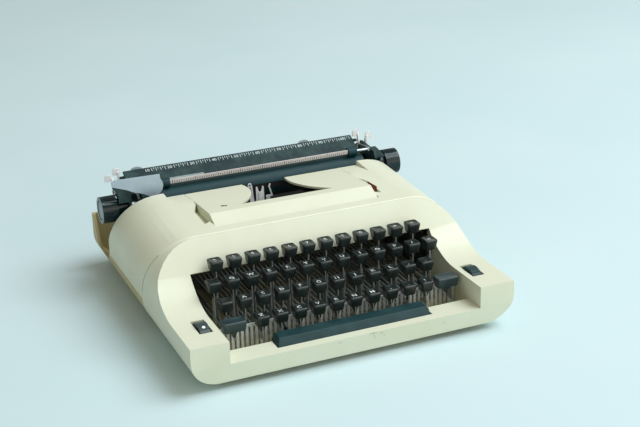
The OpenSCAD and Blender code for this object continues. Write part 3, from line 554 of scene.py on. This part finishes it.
@dataclass
class Keyboard:
    """Caps, levers and legends of all the keys, in millimetres."""

    pitch: float = 19.05
    row_y: float = -127.0
    row_step: float = 18.8
    cap_depth: float = 13.9
    cap_height: float = 10.5
    # Inset, height above the bottom and squareness of the rings around the skirt.
    skirt_rings: tuple[tuple[float, float, float], ...] = ((2.0, 0.0, 5), (1.4, 0.2, 5), (1.15, 0.8, 5.5))
    # Inset, height above the top and squareness of the rings around the crown.
    crown_rings: tuple[tuple[float, float, float], ...] = (
        (0.3, -2.6, 7), (0.15, -1.9, 7), (0.15, -1.4, 7), (0.3, -0.8, 7), (0.7, -0.3, 6.5), (1.2, -0.05, 6),
        (1.6, 0.0, 6), (2.0, -0.12, 5))
    # Reach and squareness of the rings in the dish.
    dish_rings: Pairs = ((4.2, 3), (2.2, 2.2))
    dish: float = 0.9
    dish_reach: float = 6.2
    ring_points: int = 32
    wedge_half: float = 3.8
    wedge_tip: float = 0.9
    wedge_depth: float = 4.0
    wedge_lap: float = 0.5
    wedge_drop: float = 7.0
    wedge_room: float = 0.4
    bar_arms: tuple[float, float] = (-54.77, 73.82)
    arm_room: float = 1.0
    lever_low: float = 21.5
    lever_high: float = 25.5
    lever_thick: float = 1.2
    lever_front: float = -120.1
    lever_tail: float = 2.0
    fulcrum_y: float = 65.0
    stem_half: float = 2.0
    stem_front: float = 3.0
    stem_rear: float = 5.0
    stem_lap: float = 1.0
    legend_height: float = 6.6
    legend_lift: float = 0.07
    rows: list[KeyRow] = field(default_factory=lambda: [
        KeyRow("number_row_keys", "number_row", [i - 5.5 for i in range(12)], 3, list("234567890-=+")),
        KeyRow("upper_row_keys", "upper_row", [i - 6.0 for i in range(1, 12)], 2, list("QWERTYUIOP/")),
        KeyRow("home_row_keys", "home_row", [i - 4.75 for i in range(11) if i != 5], 1, list("ASDFGJKL;:")),
        KeyRow("lower_row_keys", "lower_row", [i - 4.25 for i in range(10)], 0, list("ZXCVBNM,.?")),
        KeyRow("striking_key", "struck_key", [0.25], 1, ["H"]),
        KeyRow("tab_key", "tab", [-6.0], 2, [""]),
        KeyRow("backspace_key", "backspace", [6.0], 2, ["<"]),
        KeyRow("shift_lock_key", "shift_lock", [-5.75], 1, [""]),
        KeyRow("left_shift_key", "shift_frame", [-6.25], 0, [""], 24.0, 10.0),
        KeyRow("right_shift_key", "shift_frame", [6.25], 0, [""], 24.0, -6.0),
    ])

    def build(self) -> None:
        """Builds each row."""
        for keys in self.rows:
            self._build_row(keys)

    def _build_row(self, keys: KeyRow) -> None:
        """Builds the caps, the levers and the legends of one row.

        Args:
            keys: The row.
        """
        caps, levers, words = bmesh.new(), bmesh.new(), bmesh.new()
        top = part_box(keys.node)[1].z / MM
        y = self.row_y + keys.row * self.row_step
        for unit, legend in zip(keys.units, keys.legends):
            x = unit * self.pitch
            self._cap(caps, x + keys.shift_mm, y, top, keys.width_mm)
            self._lever(levers, x, y, top - self.cap_height)
            if legend:
                self._legend(words, x + keys.shift_mm, y, top, legend)
        stem = keys.node.removesuffix("_keys").removesuffix("_key")
        plastic = PALE_SLATE if keys.body == "shift_frame" else KEY_PLASTIC
        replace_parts(make_piece(stem + "_caps", caps, plastic, keys.body), keys.node)
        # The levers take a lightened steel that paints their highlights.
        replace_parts(make_piece(stem + "_levers", levers, LEVERS_WITH_HIGHLIGHT, keys.body), keys.node)
        if words.verts:
            make_piece(stem + "_legends", words, LEGEND_INK, keys.body)
        else:
            words.free()

    def _sink(self, radius_mm: float) -> float:
        """Depth of the dished top at a distance from its centre."""
        share = min(radius_mm / self.dish_reach, 1.0)
        return self.dish * (1 - share * share)

    def _cap(self, shape: BMesh, x: float, y: float, top: float, width: float) -> None:
        """Adds one tapered cap with a dished top.

        Args:
            shape: The bmesh that takes it.
            x: Its middle from side to side.
            y: Its middle from front to back.
            top: Height of its rim.
            width: Its width.
        """
        half = self.cap_depth / 2
        extra = width / 2 - half
        rings = [(half - inset, up - self.cap_height, square) for inset, up, square in self.skirt_rings]
        rings += [(half - inset, up, square) for inset, up, square in self.crown_rings]
        rings += [(reach, -self._sink(reach), square) for reach, square in self.dish_rings]
        loops = []
        for reach, height, squareness in rings:
            loop = []
            for k in range(self.ring_points):
                angle = 2 * math.pi * (k + 0.5) / self.ring_points
                c, s = math.cos(angle), math.sin(angle)
                px = math.copysign(abs(c) ** (2 / squareness), c) * reach
                py = math.copysign(abs(s) ** (2 / squareness), s) * reach
                loop.append(mm(x + px + math.copysign(extra, px), y + py, top + height))
            loops.append(loop)
        add_loft(shape, loops)
        self._wedge(shape, x, y, top - self.cap_height)

    def _wedge(self, shape: BMesh, x: float, y: float, low: float) -> None:
        """Adds the wedge below a cap that holds its stem.

        Args:
            shape: The bmesh that takes it.
            x: Its middle from side to side.
            y: Its middle from front to back.
            low: Height of the cap's bottom.
        """
        tip = max(low - self.wedge_drop, self.lever_high + self.wedge_room)
        wide = min([self.wedge_half] + [abs(x - arm) - self.arm_room for arm in self.bar_arms])
        front, high = y - self.wedge_depth / 2, low + self.wedge_lap
        outline = [mm(x - wide, front, high), mm(x + wide, front, high), mm(x + self.wedge_tip, front, tip),
                   mm(x - self.wedge_tip, front, tip)]
        add_prism(shape, outline, mm(0, self.wedge_depth, 0))

    def _lever(self, shape: BMesh, x: float, y: float, high: float) -> None:
        """Adds one flat lever with the stem that carries its cap.

        Args:
            shape: The bmesh that takes it.
            x: Its middle from side to side.
            y: Middle of the stem from front to back.
            high: Height of the cap's bottom.
        """
        left = x - self.lever_thick / 2
        low, level, top = self.lever_low, self.lever_high, high + self.stem_lap
        front, tail = y - self.stem_front, self.fulcrum_y + self.lever_tail
        side = [(self.lever_front, low), (self.lever_front, level), (front, level), (y - self.stem_half, top),
                (y + self.stem_half, top), (y + self.stem_rear, level), (tail, level), (tail, low)]
        if front < self.lever_front:
            side = [(front, low)] + side[2:]
        add_prism(shape, [mm(left, py, pz) for py, pz in side], mm(self.lever_thick, 0, 0))

    def _legend(self, shape: BMesh, x: float, y: float, top: float, text: str) -> None:
        """Adds one plain legend that lies on the dished top.

        Args:
            shape: The bmesh that takes it.
            x: Middle of the cap from side to side.
            y: Middle of the cap from front to back.
            top: Height of the cap's rim.
            text: The legend.
        """
        points, faces = glyph_points(text, self.legend_height * MM)
        places = []
        for point in points:
            px, py = point.x / MM, point.y / MM
            height = top - self._sink(math.hypot(px, py)) + self.legend_lift
            places.append(mm(x + px, y + py, height))
        add_faces(shape, places, faces)


@dataclass
class CadDress:
    """Finishes and softened edges for the nodes of the frame."""

    edge_mm: dict[str, float] = field(default_factory=lambda: {
        "cream_abs": 1.0, "key_plastic": 1.0, "slate_plastic": 1.0, "black_enamel": 0.5,
        "chromed_lever": 0.4})
    other_edge_mm: float = 0.25
    edge_steps: int = 2
    edge_angle: float = math.radians(22)
    weld_m: float = 1e-6
    # Of these, the pan's finish carries painted shade, the comb's painted light and the nickel parts' painted
    # highlights.
    special: dict[str, Finish] = field(default_factory=lambda: {
        "bail_scale": SCALE_STRIP, "key_comb": LIT_COMB_PAINT, "base_pan": AGED_SHADED_ABS, "return_lever": LEVER_PAINT,
        "ribbon_vibrator": NICKEL_GLARE, "margin_stop_left": CLEAR_TAB, "margin_stop_right": CLEAR_TAB,
        "carriage_release_left": NICKEL_GLARE, "carriage_release_right": NICKEL_GLARE,
        "paper_release_lever": NICKEL_GLARE, "line_space_selector": NICKEL_GLARE, "knob_left": KNOB_PLASTIC,
        "knob_right": KNOB_PLASTIC, "ribbon_selector_wheel": PALE_SLATE})

    def build(self) -> None:
        """Dresses every node of the frame."""
        for part in frame["record"]["subparts"]:
            name, slot = part["node"], part["material_slot"]
            obj = frame["nodes"][name]
            finish = self.special.get(name) or SLOT_FINISH[slot]
            obj.data.materials.clear()
            obj.data.materials.append(finish.material())
            for face in obj.data.polygons:
                face.use_smooth = True
                face.material_index = 0
            self._soften(obj, self.edge_mm.get(slot, self.other_edge_mm))
            log.info("dressed %s as %s", name, finish.name)

    def _soften(self, obj: bpy.types.Object, width_mm: float) -> None:
        """Rounds the edges of one node.

        Args:
            obj: The node's object.
            width_mm: Width of the rounding.
        """
        weld = obj.modifiers.new("weld", "WELD")
        weld.merge_threshold = self.weld_m
        bevel = obj.modifiers.new("edge_round", "BEVEL")
        bevel.width = width_mm * MM
        bevel.segments = self.edge_steps
        bevel.limit_method = "ANGLE"
        bevel.angle_limit = self.edge_angle
        even = obj.modifiers.new("even_shading", "WEIGHTED_NORMAL")
        even.keep_sharp = True


@dataclass
class Scales:
    """Ticks and numbers of the paper table and of the bail, with the bail's guide, in millimetres."""

    pitch: float = 2.54
    tens: int = 10
    hundred: int = 100
    table_drop: float = 1.8
    table_tick: float = 5.0
    table_run: float = 24.0
    table_rise: float = 12.0
    table_lip: float = 0.9
    table_first: int = 9
    table_last: int = 104
    table_hundred: float = 120.6
    odd_share: float = 0.55
    number_height: float = 5.4
    number_drop: float = 0.4
    tick_width: float = 0.6
    ink: float = 0.06
    bail_margin: float = 0.5
    bail_share: float = 0.5
    bail_tens_share: float = 0.75
    guide_length: float = 38.0
    guide_rise: float = 1.9
    guide_lap: float = 2.0
    guide_corner: float = 0.8
    guide_sheet: float = 0.35

    def build(self) -> None:
        """Prints both scales."""
        self._table()
        self._bail()

    def _table(self) -> None:
        """White ticks and numbers along the upper edge of the sloping paper table."""
        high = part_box("paper_table")[1]
        edge = Vector((0, high.y - self.table_lip * MM, high.z))
        down = -mm(0, self.table_run, self.table_rise).normalized()
        out = Vector((0, down.z, -down.y))
        shape = bmesh.new()
        for i in range(self.table_first, self.table_last + 1):
            x = (self.table_hundred - (self.hundred - i) * self.pitch) * MM
            step = i % self.tens
            if step == 0:
                self._number(shape, str(i), edge + Vector((x, 0, 0)), down, out)
            elif 1 < step < self.tens - 1 or i > self.hundred:
                start = edge + Vector((x, 0, 0)) + down * self.table_drop * MM
                share = 1.0 if i % 2 == 0 else self.odd_share
                self._tick(shape, start, down * self.table_tick * share * MM, out)
        make_piece("paper_table_scale", shape, TICK_WHITE, "carriage")

    def _tick(self, shape: BMesh, start: Vector, along: Vector, out: Vector) -> None:
        """Adds one printed tick that stands a hair above its face."""
        side, end = mm(self.tick_width / 2, 0, 0), start + along
        add_prism(shape, [start - side, start + side, end + side, end - side], out * self.ink * MM)

    def _number(self, shape: BMesh, text: str, edge: Vector, down: Vector, out: Vector) -> None:
        """Adds one printed number below the edge of the table.

        Args:
            shape: The bmesh that takes it.
            text: The number.
            edge: Its place on the edge.
            down: Direction down the table.
            out: Direction away from the table.
        """
        points, faces = glyph_points(text, self.number_height * MM)
        drop = self.table_drop + self.table_tick / 2 + self.number_drop
        middle = edge + down * drop * MM + out * self.ink * MM
        add_faces(shape, [middle + Vector((point.x, 0, 0)) - down * point.y for point in points], faces)

    def _bail(self) -> None:
        """Dark ticks on the bail's strip, longer at every ten, and the guide behind it."""
        low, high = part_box("bail_scale")
        height = high.z - low.z
        shape = bmesh.new()
        count = int((high.x - low.x) / (self.pitch * MM)) - 1
        for i in range(count):
            x = low.x + (i + 1) * self.pitch * MM
            length = height * (self.bail_tens_share if i % self.tens == 0 else self.bail_share)
            start = Vector((x, low.y, low.z + self.bail_margin * MM))
            self._tick(shape, start, Vector((0, 0, length)), Vector((0, -1, 0)))
        make_piece("bail_scale_ticks", shape, TICK_BLACK, "bail")
        self._guide(low.x, high.y, high.z)

    def _guide(self, left: float, y: float, strip_top: float) -> None:
        """A thin tab that stands above the left end of the bail's strip.

        Args:
            left: Left end of the strip, in metres.
            y: Back of the strip.
            strip_top: Top of the strip.
        """
        right = left + self.guide_length * MM
        low, top = strip_top - self.guide_lap * MM, strip_top + self.guide_rise * MM
        corner = self.guide_corner * MM
        outline = [(left, low), (right, low), (right, top - corner), (right - corner, top), (left, top)]
        guide = bmesh.new()
        add_prism(guide, [Vector((x, y, z)) for x, z in outline], mm(0, -self.guide_sheet, 0))
        make_piece("bail_paper_guide", guide, CLEAR_TAB, "bail")


@dataclass
class CarriageTrim:
    """Knob caps, the right end cover and the hub of the return lever, in millimetres."""

    cap_radius: float = 9.3
    cap_recess: float = 0.8
    # Inset from the cap's rim and height of each ring, with radius and height of the last.
    cap_rings: Pairs = (
        (0.0, -0.05), (0.0, 0.25), (0.25, 0.45), (1.6, 0.5), (2.0, 0.35), (3.0, 0.3))
    cap_middle: tuple[float, float] = (1.0, 0.3)
    cover_front_rise: float = 1.6
    cover_rear_rise: float = 6.0
    # Run, height and fall of the cover's bends, as shares of its front rise.
    cover_run: float = 2.0
    cover_bend: float = 1.6
    cover_fall: float = 0.5
    cover_edge: float = 0.5
    cover_steps: int = 2
    lever_pin: tuple[float, float] = (-148.0, 102.0)
    hub_sheet: float = 0.3
    hub_outline: Pairs = (
        (-12.6, 14.6), (-4.6, 11.8), (2.5, 9.2), (8.0, 6.3), (10.2, 5.3), (6.2, 2.0), (6.2, -4.2),
        (-6.2, -4.2), (-6.2, 4.0), (-12.4, 13.4))
    rivet_rings: Pairs = ((1.6, -0.1), (1.6, 0.2), (1.2, 0.4), (0.2, 0.45))
    rivet_sides: int = 24

    def build(self) -> None:
        """Adds the knob caps, the end cover and the hub."""
        for side, name in SIDES:
            self._knob(side, name)
        self._end_cover()
        self._lever_hub()

    def _lever_hub(self) -> None:
        """A dark cover and a rivet over the lower left of the return lever, around its pin."""
        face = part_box("return_lever")[0].y
        pin_x, pin_z = self.lever_pin
        outline = [Vector(((pin_x + u) * MM, face, (pin_z + v) * MM)) for u, v in self.hub_outline]
        cover = bmesh.new()
        add_prism(cover, outline, mm(0, -self.hub_sheet, 0))
        make_piece("lever_hub_cover", cover, BLACK_ENAMEL, "lever")
        # The rivet is drawn white as a painted glint of the pins.
        rivet = bmesh.new()
        place = Vector((pin_x * MM, face - self.hub_sheet * MM, pin_z * MM))
        add_disc(rivet, place, Vector((0, -1, 0)), list(self.rivet_rings), self.rivet_sides)
        make_piece("lever_hub_rivet", rivet, NICKEL_GLARE, "lever")

    def _end_cover(self) -> None:
        """The right end cover, which slopes down to the front and has rounded edges."""
        low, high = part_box("end_cover_right")
        rise = self.cover_front_rise * MM
        high.z = low.z + self.cover_rear_rise * MM
        run = self.cover_run * rise
        side = [(low.y, low.z), (low.y, low.z + rise), (low.y + run, low.z + self.cover_bend * rise),
                (high.y - run, high.z), (high.y, high.z - self.cover_fall * rise), (high.y, low.z)]
        shape = bmesh.new()
        add_prism(shape, [Vector((low.x, y, z)) for y, z in side], Vector((high.x - low.x, 0, 0)))
        bmesh.ops.bevel(shape, geom=list(shape.edges), offset=self.cover_edge * MM,
                        segments=self.cover_steps, affect="EDGES")
        cover = make_piece("end_cover_right_slope", shape, BLACK_ENAMEL, "carriage")
        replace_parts(cover, "end_cover_right")

    def _knob(self, side: int, name: str) -> None:
        """Adds a grey disc let into the end of one knob.

        Args:
            side: -1 for the left knob, 1 for the right one.
            name: The side in words.
        """
        low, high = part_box("knob_" + name)
        centre = (low + high) / 2
        centre.x = (low.x if side < 0 else high.x) - side * self.cap_recess * MM
        rings = [(self.cap_radius - inset, height) for inset, height in self.cap_rings] + [self.cap_middle]
        shape = bmesh.new()
        add_disc(shape, centre, Vector((side, 0, 0)), rings)
        make_piece("knob_cap_" + name, shape, GREY_PLASTIC, "platen")


@dataclass
class CoverTrim:
    """Ledges under the side skirts of the ribbon cover and small trim around it, in millimetres."""

    ledge_behind: float = 0.1
    ledge_sheet: float = 2.4
    ledge_front: float = -18.0
    ledge_rear: float = 31.0
    ledge_low: float = 92.0
    ledge_high: float = 97.2
    blade_half: float = 1.8
    blade_low: float = 66.0
    blade_high: float = 86.3
    blade_dip: float = 1.0
    blade_sheet: float = 0.5
    blade_gap: float = 0.3
    plug_x: float = 132.9
    plug_slope: float = math.radians(20.4)
    plug_half: tuple[float, float] = (6.2, 2.8)
    plug_steps: int = 14
    plug_tip: float = 0.2
    plug_proud: float = 0.06
    plug_depth: float = 0.3
    ridge_y: float = -10.0
    ridge_z: float = 108.0
    top_fall: float = 0.0705
    mark_places: Pairs = ((-68.0, 7.2), (-65.0, 6.4))
    mark_radii: tuple[float, ...] = (2.0, 1.5)
    # Share of the radius and height of each ring of a mark.
    mark_rings: Pairs = ((1.0, -0.3), (1.0, 0.05), (0.7, 0.1), (0.2, 0.1))
    mark_sides: int = 16

    def build(self) -> None:
        """Adds the ledges, the plugs, the marks and the blade."""
        for side, name in SIDES:
            self._ledge(side, name)
            self._plug(side, name)
        self._mark()
        self._blade()

    def _blade(self) -> None:
        """A white blade of the type guide, before the slot of the card plate, that shifts with the basket."""
        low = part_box("card_holder")[0]
        half, y = self.blade_half, low.y - self.blade_gap * MM
        corners = [(-half, self.blade_low), (half, self.blade_low), (half, self.blade_high),
                   (0, self.blade_high - self.blade_dip), (-half, self.blade_high)]
        shape = bmesh.new()
        add_prism(shape, [Vector((x * MM, y, z * MM)) for x, z in corners],
                  Vector((0, -self.blade_sheet * MM, 0)))
        make_piece("type_guide_blade", shape, WHITE_PLASTIC, "basket")

    def _plug(self, side: int, name: str) -> None:
        """Adds a plug over one outer end of the hinge bore that follows the sloping shoulder.

        Args:
            side: -1 for the left end, 1 for the right one.
            name: The side in words.
        """
        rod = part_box("cover_hinge_rod")
        middle = (rod[0] + rod[1]) / 2
        middle.x = side * self.plug_x * MM
        along = Vector((side * math.cos(self.plug_slope), 0, -math.sin(self.plug_slope)))
        out = Vector((side * math.sin(self.plug_slope), 0, math.cos(self.plug_slope)))
        sink = out * -self.plug_depth * MM
        loops = []
        for step in range(self.plug_steps + 1):
            share = 2 * step / self.plug_steps - 1
            wide = self.plug_half[1] * max(math.sqrt(1 - share * share), self.plug_tip)
            pair = []
            for hand in (-wide, wide):
                guess = middle + along * self.plug_half[0] * MM * share + mm(0, hand, 0)
                _, place, normal, _ = frame["nodes"]["top_housing"].closest_point_on_mesh(guess)
                pair.append(place + normal * self.plug_proud * MM)
            loops.append([pair[0], pair[1], pair[1] + sink, pair[0] + sink])
        shape = bmesh.new()
        add_loft(shape, loops)
        make_piece("hinge_plug_" + name, shape, CREAM_ABS, "machine")

    def _mark(self) -> None:
        """Two small dark pin marks on the left of the cover's top."""
        shape = bmesh.new()
        for (x, y), radius in zip(self.mark_places, self.mark_radii):
            z = self.ridge_z - (y - self.ridge_y) * self.top_fall
            rings = [(radius * share, height) for share, height in self.mark_rings]
            add_disc(shape, mm(x, y, z), Vector((0, 0, 1)), rings, self.mark_sides)
        make_piece("cover_pin_marks", shape, FOOT_RUBBER, "cover")

    def _ledge(self, side: int, name: str) -> None:
        """Adds a ledge of the housing that closes the gap below one skirt.

        Args:
            side: -1 for the left skirt, 1 for the right one.
            name: The side in words.
        """
        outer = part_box("ribbon_cover")[1].x / MM - self.ledge_behind
        inner = outer - self.ledge_sheet
        section = [(inner, self.ledge_low), (outer, self.ledge_low), (outer, self.ledge_high),
                   (inner, self.ledge_high)]
        shape = bmesh.new()
        add_prism(shape, [mm(side * x, self.ledge_front, z) for x, z in section],
                  mm(0, self.ledge_rear - self.ledge_front, 0))
        make_piece("skirt_ledge_" + name, shape, CREAM_ABS, "machine")


@dataclass
class ShellTrim:
    """Painted highlight and painted shade along the housing's seam, painted shade in a notch, a wheel's dot
    and scuffs, in millimetres.
    """

    seam_top: tuple[float, float] = (-43.2, 103.0)
    seam_low: tuple[float, float] = (-21.7, 46.0)
    seam_near: float = 0.45
    seam_radius: float = 0.42
    seam_sink: float = 0.12
    shade_ahead: float = 0.9
    shade_high: float = 90.0
    notch_shade_x: float = 95.5
    notch_shade_thick: float = 0.25
    notch_shade_side: Pairs = ((-9.0, 97.5), (13.0, 97.5), (13.0, 103.5), (-9.0, 105.0))
    dot_radius: float = 1.6
    dot_back: float = -136.0
    # Inset from the dot's rim and height of each ring, with radius and height of the last.
    dot_rings: Pairs = ((0.0, -0.6), (0.0, 0.0), (0.2, 0.12))
    dot_middle: tuple[float, float] = (0.3, 0.16)
    dot_sides: int = 24
    scuff_width: float = 0.35
    scuff_thick: float = 0.03
    # Both ends of each scuff, across and up.
    scuffs: tuple[tuple[float, float, float, float], ...] = (
        (10.0, 26.6, 17.0, 25.8), (13.5, 26.2, 14.8, 22.4), (15.0, 22.2, 15.8, 20.6),
        (20.5, 25.0, 23.5, 24.2), (24.0, 22.6, 25.6, 21.4), (-22.0, 24.0, -19.0, 23.2),
        (86.0, 20.5, 90.0, 21.0))

    def build(self) -> None:
        """Adds the seam's painted highlight and painted shade, the notch's painted shade, the dot and the
        scuffs.
        """
        points = self._seam_points()
        # A light bead along the whole seam is a painted highlight on the housing's lip.
        self._seam("seam_painted_highlight", RIM_HIGHLIGHT, points)
        ahead, top = mm(0, -self.shade_ahead, 0), self.shade_high * MM
        # Below a height, each side gets a dark bead set a little ahead of the seam: painted shade of the step
        # under the lip.
        for side, name in SIDES:
            low = [point + ahead for point in points if point.x * side > 0 and point.z < top]
            self._seam("seam_dust_" + name, SEAM_SHADE, low)
        self._notch_shade()
        self._dot()
        self._scuffs()

    def _seam(self, name: str, finish: Finish, points: list[Vector]) -> None:
        """Adds a thin bead along the seam between the top housing and the front shell, coloured as painted
        highlight or painted shade.

        Args:
            name: The piece's name.
            finish: Its colour, which paints the seam's highlight or its shade.
            points: The bead's middle line, in metres.
        """
        shape = bmesh.new()
        loops = []
        for i, point in enumerate(points):
            ahead = points[min(i + 1, len(points) - 1)] - points[max(i - 1, 0)]
            across = ahead.cross(Vector((0, 1, 0))).normalized() * self.seam_radius * MM
            along = ahead.cross(across).normalized() * self.seam_radius * MM
            loops.append([point + across, point + along, point - across, point - along])
        add_loft(shape, loops)
        make_piece(name, shape, finish, "machine")

    def _seam_points(self) -> list[Vector]:
        """Finds points along the outer edge of the housing's front, from left to right.

        Returns:
            The points, thinned out and sunk a little below the surface.
        """
        edge = [vertex.co.copy() for vertex in frame["nodes"]["top_housing"].data.vertices
                if abs(vertex.co.y - self._seam_y(vertex.co.z)) < self.seam_near * MM]
        points: list[Vector] = []
        for place in sorted(edge, key=lambda place: (place.x, place.z)):
            while len(points) > 1 and self._dips(points[-2], points[-1], place):
                points.pop()
            points.append(place)
        middle = mm(0, 0, self.seam_low[1])
        return [place + (middle - place).normalized() * self.seam_sink * MM for place in points]

    def _dips(self, before: Vector, point: Vector, after: Vector) -> bool:
        """Whether a point lies on or below the line between its neighbours, seen from the front."""
        ahead, reach = point - before, after - before
        return ahead.x * reach.z - ahead.z * reach.x >= 0

    def _seam_y(self, z: float) -> float:
        """Y of the seam's plane at a height, both in metres."""
        (top_y, top_z), (low_y, low_z) = self.seam_top, self.seam_low
        return (low_y + (top_y - low_y) * ((z / MM - low_z) / (top_z - low_z))) * MM

    def _notch_shade(self) -> None:
        """A red-brown sheet on the outer wall of the right thumb notch: painted shade of the wall."""
        outline = [mm(self.notch_shade_x, y, z) for y, z in self.notch_shade_side]
        shape = bmesh.new()
        add_prism(shape, outline, mm(-self.notch_shade_thick, 0, 0))
        make_piece("notch_shade_right", shape, NOTCH_SHADE_BROWN, "machine")

    def _dot(self) -> None:
        """A white dot let into the rim of the ribbon selector wheel."""
        low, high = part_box("ribbon_selector_wheel")
        middle = (low + high) / 2
        radius = (high.z - low.z) / 2
        lean = math.asin(max(-1.0, min(1.0, (self.dot_back * MM - middle.y) / radius)))
        out = Vector((0, math.sin(lean), math.cos(lean)))
        rings = [(self.dot_radius - inset, height) for inset, height in self.dot_rings] + [self.dot_middle]
        shape = bmesh.new()
        add_disc(shape, middle + out * radius, out, rings, self.dot_sides)
        make_piece("selector_dot", shape, WHITE_PLASTIC, "selector_wheel")

    def _scuffs(self) -> None:
        """Thin rubbed marks on the upright face of the front rail."""
        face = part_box("front_shell")[0].y
        shape = bmesh.new()
        for x0, z0, x1, z1 in self.scuffs:
            start, end = Vector((x0 * MM, face, z0 * MM)), Vector((x1 * MM, face, z1 * MM))
            side = (end - start).cross(Vector((0, 1, 0))).normalized() * self.scuff_width * MM / 2
            add_prism(shape, [start - side, start + side, end + side, end - side],
                      mm(0, -self.scuff_thick, 0))
        make_piece("rail_scuffs", shape, SCUFF, "machine")


def main() -> None:
    """Builds the studio and dresses the machine."""
    logging.basicConfig(level=logging.WARNING)
    log.setLevel(logging.INFO)
    bpy.context.scene.view_settings.view_transform = "Standard"
    Studio().build()
    CadDress().build()
    Keyboard().build()
    Scales().build()
    CarriageTrim().build()
    CoverTrim().build()
    ShellTrim().build()


if __name__ == "__main__":
    main()
